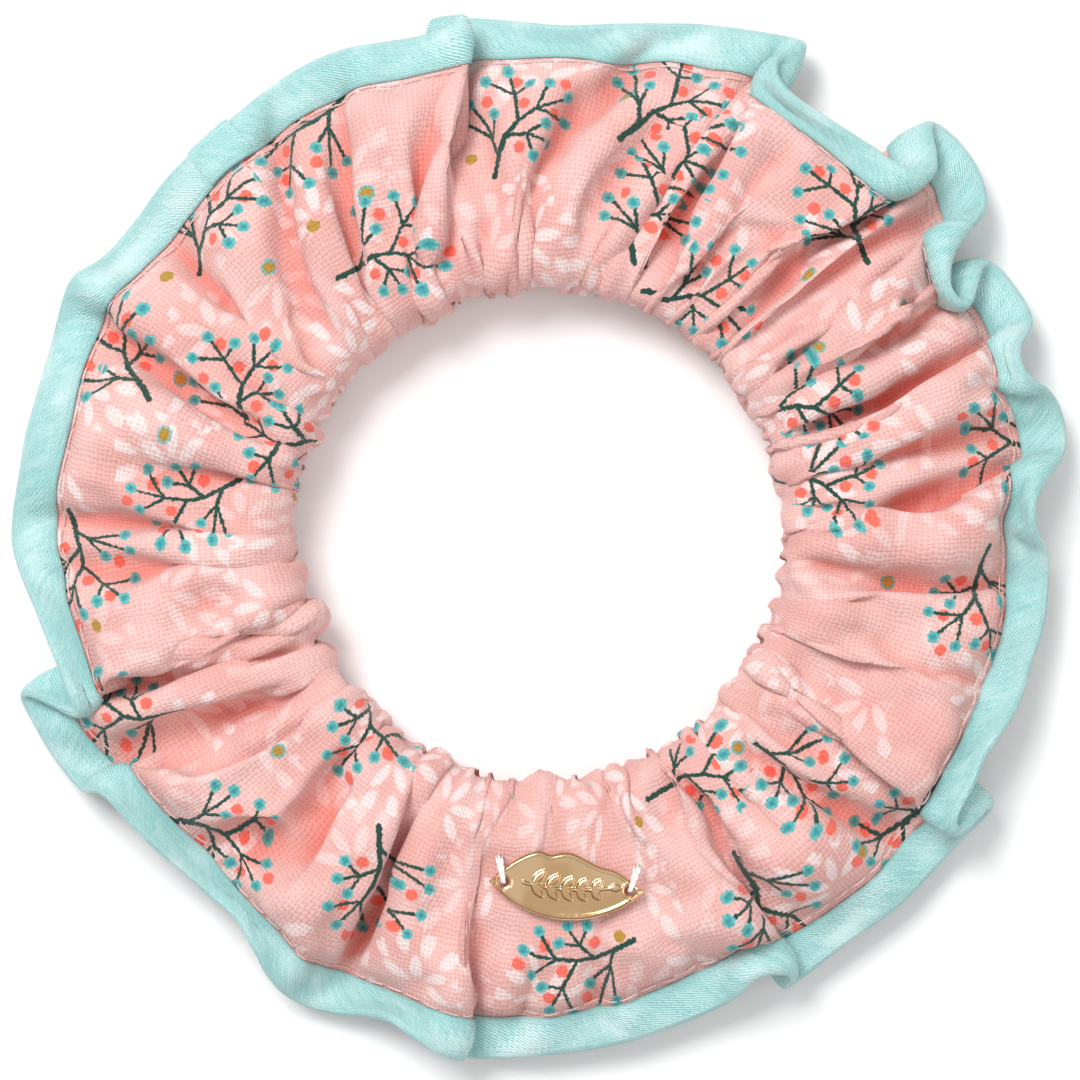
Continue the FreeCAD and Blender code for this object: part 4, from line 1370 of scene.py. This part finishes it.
def make_charm_threads():
    """Two loops of twisted thread, up through the charm's holes and over its upper edge to the cloth."""
    white = bpy.data.materials["white_thread"]
    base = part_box("charm_plate")[0][2] / MM
    top = base + 0.8 + 0.58
    for side, name in ((-1, "charm_thread_left"), (1, "charm_thread_right")):
        lean = math.radians(-14 * side)
        runs = []
        for strand in range(3):
            shift = (strand - 1) * 0.3
            span = 2.65 + 0.25 * (strand == 1)
            profile = [(0, None), (0, top - 0.35), (0.1, top - 0.1), (0.4, top), (span * 0.5, top + 0.05),
                       (span - 0.4, top), (span - 0.1, top - 0.12), (span, top - 0.45), (span + 0.1, None)]
            path = []
            for y, z in profile:
                px = shift * (0.35 + 0.65 * y / span) + side * CHARM_HOLE_OFFSET
                x = px - math.sin(lean) * y
                y = math.cos(lean) * y
                place = charm_place(x, y, 0)
                level = z if z is not None else cloth_height(place[0], place[1]) - 0.25
                path.append((place[0], place[1], level))
            path = open_curve(path, 6)
            for ply in range(2):
                turn = np.arange(len(path)) * 0.55 + ply * math.pi
                tangent = unit(np.gradient(path, axis=0))
                across = unit(np.cross(tangent, [math.cos(lean), math.sin(lean), 0.02]))
                out = np.cross(tangent, across)
                twist = across * np.cos(turn)[:, None] + out * np.sin(turn)[:, None]
                runs.append((path + twist * 0.075, 0.085, 6))
        thread = thread_piece(name.replace("thread", "loop"), runs, white)
        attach(thread, "near_half")
        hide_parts(name)
    runs = []
    for side in (-1, 1):
        x, y, _ = charm_place(side * CHARM_HOLE_OFFSET, 1.0, 0)
        turns = np.linspace(0, TAU * 4, 60)
        knot = np.stack([x + 0.42 * np.cos(turns) * np.cos(turns * 0.37), y + 0.42 * np.sin(turns),
                         cloth_height(x, y) - 1.3 + 0.36 * np.sin(turns * 0.61)], 1)
        runs.append((knot, 0.16, 6))
    knots = thread_piece("charm_knots", runs, white)
    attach(knots, "near_half")
    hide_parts("charm_thread_knots")


def open_curve(points, per_span):
    """A smooth path through the points, from the first to the last."""
    p = np.array(points, float)
    p = np.concatenate([2 * p[:1] - p[1:2], p, 2 * p[-1:] - p[-2:-1]])
    out = [cubic(*p[k - 1:k + 3], f) for k in range(1, len(p) - 2) for f in np.arange(per_span) / per_span]
    out.append(p[-2])
    return np.array(out)


# ---- charm --------------------------------------------------------------------------------------------
CHARM_TIP = 8.75            # half its length
CHARM_UPPER = [             # its upper edge
    (-8.75, 0), (-6.2, 2.4), (-3.6, 3.75), (-2.0, 3.45), (0.2, 3.8), (3.5, 2.5), (5.6, 2.0), (8.75, 0),
]
CHARM_DEPTH = 3.8           # how far its lower edge bows down
CHARM_THICKNESS = 0.8
CHARM_HOLE_RADIUS = 0.65
SPRIG_REACH = 5.0
SPRIG_BOW = 0.5


def charm_edges(x):
    """The charm's lower and upper edge at x, in its own frame: an arc below, two soft lobes above."""
    radius = (CHARM_TIP ** 2 + CHARM_DEPTH ** 2) / (2 * CHARM_DEPTH)
    low = radius - CHARM_DEPTH - np.sqrt(np.maximum(radius ** 2 - x ** 2, 0))
    upper = open_curve([(a, b, 0) for a, b in CHARM_UPPER], 24)
    return np.minimum(low, 0), np.maximum(np.interp(x, upper[:, 0], upper[:, 1]), 0)


def dome(x, y, start, turn, length, width, height):
    """A raised leaf: a rounded ridge with pointed ends."""
    c, s = direction(turn)
    along = ((x - start[0]) * c + (y - start[1]) * s) / length
    across = (y - start[1]) * c - (x - start[0]) * s
    half = width / 2 * np.sin(math.pi * np.clip(along, 0, 1)) ** 0.8 + 1e-6
    return height * np.sqrt(np.clip(1 - (across / half) ** 2, 0, 1)) * ((along > 0) & (along < 1))


def charm_relief(x, y, low, high):
    """The charm's face: a raised rim, a sunk field, and a bowed sprig with pairs of leaves."""
    edge = np.minimum(y - low, high - y) * 0.92
    edge = np.minimum(edge, (CHARM_TIP - np.abs(x)) * 0.5)
    z = CHARM_THICKNESS - 0.2 * (1 - np.clip(edge / 0.22, 0, 1)) ** 2
    z += 0.12 * np.exp(-((edge - 0.38) / 0.17) ** 2)
    eyelet = np.minimum(np.hypot(x - CHARM_HOLE_OFFSET, y), np.hypot(x + CHARM_HOLE_OFFSET, y))
    z += 0.1 * np.exp(-((eyelet - CHARM_HOLE_RADIUS - 0.22) / 0.13) ** 2)
    raised = np.zeros_like(x)
    stem = -SPRIG_BOW * (1 - (x / SPRIG_REACH) ** 2) + 0.15
    ridge = 0.2 * np.sqrt(np.clip(1 - ((y - stem) / 0.2) ** 2, 0, 1)) * (np.abs(x) < SPRIG_REACH)
    raised = np.maximum(raised, ridge)
    for step in range(5):
        place = -4.0 + step * 1.7
        foot = (place, -SPRIG_BOW * (1 - (place / SPRIG_REACH) ** 2) + 0.15)
        length = 2.3 - 0.15 * step
        raised = np.maximum(raised, dome(x, y, foot, 48, length, 0.95, 0.26))
        raised = np.maximum(raised, dome(x, y, foot, -44, length * 0.9, 0.95, 0.26))
    raised = np.maximum(raised, dome(x, y, (SPRIG_REACH - 0.3, 0.15), 4, 1.5, 0.9, 0.24))
    return z + raised


def make_charm():
    """The stamped metal charm, with rounded edges, a raised rim and sprig, and a hole near each tip."""
    stations, rows = 321, 97
    x = CHARM_TIP * np.sin(np.linspace(-1, 1, stations) * math.pi / 2 * 0.985) / math.sin(math.pi / 2 * 0.985)
    low, high = charm_edges(x)
    across = (1 - np.cos(np.linspace(0, math.pi, rows))) / 2 * 0.6 + np.linspace(0, 1, rows) * 0.4
    y = low[:, None] + (high - low)[:, None] * across[None, :]
    gx = np.broadcast_to(x[:, None], y.shape)
    top = charm_relief(gx, y, low[:, None], high[:, None])
    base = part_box("charm_plate")[0][2] / MM
    px, py, _ = charm_place(gx, y, base)
    upper = np.stack([px, py, base + top], 2)
    under = np.stack([px, py, np.full_like(px, base)], 2)
    faces = [tuple(f[::-1]) for f in grid_faces(stations, rows, closed_columns=False)]
    total = stations * rows
    faces += [tuple(v + total for v in f[::-1]) for f in faces]
    rim = [k * rows for k in range(stations)] + [k * rows + rows - 1 for k in range(stations - 1, -1, -1)]
    faces += [(a, b, b + total, a + total)[::-1] for a, b in zip(rim, rim[1:] + rim[:1])]
    points = np.concatenate([upper.reshape(-1, 3), under.reshape(-1, 3)])
    charm = new_piece("stamped_charm", points, faces, gold_material())
    shape = bmesh.new()
    shape.from_mesh(charm.data)
    bmesh.ops.remove_doubles(shape, verts=shape.verts, dist=1e-7)
    bmesh.ops.recalc_face_normals(shape, faces=shape.faces)
    shape.to_mesh(charm.data)
    shape.free()

    # punch the holes
    cutters = []
    for side in (-1, 1):
        mesh = bpy.data.meshes.new("punch")
        shape = bmesh.new()
        bmesh.ops.create_cone(shape, cap_ends=True, segments=48, radius1=CHARM_HOLE_RADIUS * MM,
                              radius2=CHARM_HOLE_RADIUS * MM, depth=4 * MM)
        shape.to_mesh(mesh)
        shape.free()
        punch = bpy.data.objects.new("punch", mesh)
        punch.location = Vector(charm_place(side * CHARM_HOLE_OFFSET, 0, base)) * MM
        bpy.context.scene.collection.objects.link(punch)
        cut = charm.modifiers.new("hole", "BOOLEAN")
        cut.operation = "DIFFERENCE"
        cut.solver = "EXACT"
        cut.object = punch
        cutters.append(punch)
    punched = bpy.data.meshes.new_from_object(charm.evaluated_get(bpy.context.evaluated_depsgraph_get()))
    charm.modifiers.clear()
    charm.data = punched
    for punch in cutters:
        bpy.data.objects.remove(punch)
    charm.data.shade_smooth()
    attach(charm, "charm")
    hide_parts("charm_plate")


# ---- elastic ------------------------------------------------------------------------------------------
def elastic_strip(name, inner, start_degrees, sweep_degrees, closed):
    """A flat band standing on its edge, with ribs along it."""
    count = max(24, int(abs(sweep_degrees) * 0.8))
    low, high, thick = ELASTIC_LOW, ELASTIC_HIGH, ELASTIC_THICKNESS
    ribs = 7
    section = []
    for k in range(ribs * 2 + 1):
        z = low + (high - low) * k / (ribs * 2)
        section.append((0.0 if k % 2 else 0.08, z))
    section += [(thick - r, z) for r, z in section[::-1]]
    rows = len(section)
    points = []
    for i in range(count if closed else count + 1):
        degrees = start_degrees + sweep_degrees * i / count
        points.append([ring_point(inner + r, degrees, z) for r, z in section])
    points = np.array(points)
    n = points.shape[0]
    faces = [tuple(f) for f in grid_faces(n, rows, closed_rows=True, closed_columns=closed)]
    if not closed:
        faces.append(tuple(range(rows)))
        faces.append(tuple((n - 1) * rows + k for k in range(rows - 1, -1, -1)))
    piece = new_piece(name, points, faces, bpy.data.materials["knit_elastic"])
    index = corner_points(piece)
    s = (index // rows) * (TAU * inner * abs(sweep_degrees) / 360 / count)
    corner_attribute(piece, "thread_place", s, np.array([z for _, z in section])[index % rows])
    return piece


def make_elastic():
    elastic_material()
    band = elastic_strip("elastic_loop", ELASTIC_INNER, 0, 360, True)
    stretch_with_ring(band)
    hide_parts("elastic_band_near", "elastic_band_far")
    tab = elastic_strip("elastic_lap", ELASTIC_INNER + ELASTIC_THICKNESS + 0.03, JOIN_ANGLE,
                        math.degrees(TAB_LENGTH / OPENING), False)
    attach(tab, "far_half")
    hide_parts("elastic_end_tab")


# ---- stage, light and camera --------------------------------------------------------------------------
def make_stage():
    mesh = bpy.data.meshes.new("floor")
    half = 3.0
    corners = [(-half, -half, 0), (half, -half, 0), (half, half, 0), (-half, half, 0)]
    mesh.from_pydata(corners, [], [(0, 1, 2, 3)])
    tree = Tree("pale_floor")
    speck = tree.noise(tree.nodes.new("ShaderNodeTexCoord").outputs["Object"], 40.0, 3.0)
    tree.finish(tree.mix(speck, (0.93, 0.93, 0.93), (0.96, 0.96, 0.96)), 0.9)
    mesh.materials.append(tree.material)
    floor = bpy.data.objects.new("floor", mesh)
    bpy.context.scene.collection.objects.link(floor)


def soft_light(name, place, size, energy):
    light = bpy.data.lights.new(name, "AREA")
    light.size = size
    light.energy = energy
    lamp = bpy.data.objects.new(name, light)
    lamp.location = place
    lamp.rotation_euler = (Vector((0, 0, 0)) - lamp.location).to_track_quat("-Z", "Y").to_euler()
    bpy.context.scene.collection.objects.link(lamp)


def make_light():
    world = bpy.data.worlds.new("studio")
    world.use_nodes = True
    nodes, links = world.node_tree.nodes, world.node_tree.links
    way = nodes.new("ShaderNodeSeparateXYZ")
    links.new(nodes.new("ShaderNodeTexCoord").outputs["Generated"], way.inputs[0])
    rise = nodes.new("ShaderNodeMapRange")
    rise.interpolation_type = "SMOOTHSTEP"
    for socket, amount in zip(list(rise.inputs)[1:5], (0.0, 0.85, HORIZON_LIGHT, ZENITH_LIGHT)):
        socket.default_value = amount
    links.new(way.outputs[2], rise.inputs[0])
    links.new(rise.outputs[0], nodes["Background"].inputs["Strength"])
    nodes["Background"].inputs["Color"].default_value = (1, 1, 1, 1)
    bpy.context.scene.world = world
    soft_light("key", (-0.32, 0.42, 0.78), 0.4, KEY_LIGHT)
    soft_light("fill", (0.6, -0.2, 0.5), 0.6, FILL_LIGHT)
    bpy.context.scene.view_settings.view_transform = "Standard"


def make_camera():
    camera = bpy.data.cameras.new("camera")
    camera.lens = 150
    camera.sensor_width = 36
    eye = bpy.data.objects.new("camera", camera)
    distance = FRAME_WIDTH * camera.lens / camera.sensor_width
    eye.location = (0, FRAME_MIDDLE_Y * MM, (MIDDLE + distance) * MM)
    bpy.context.scene.collection.objects.link(eye)
    bpy.context.scene.camera = eye


make_camera()
make_casing()
make_tape()
make_elastic()
make_threads()
make_charm_threads()
make_charm()
make_stage()
make_light()
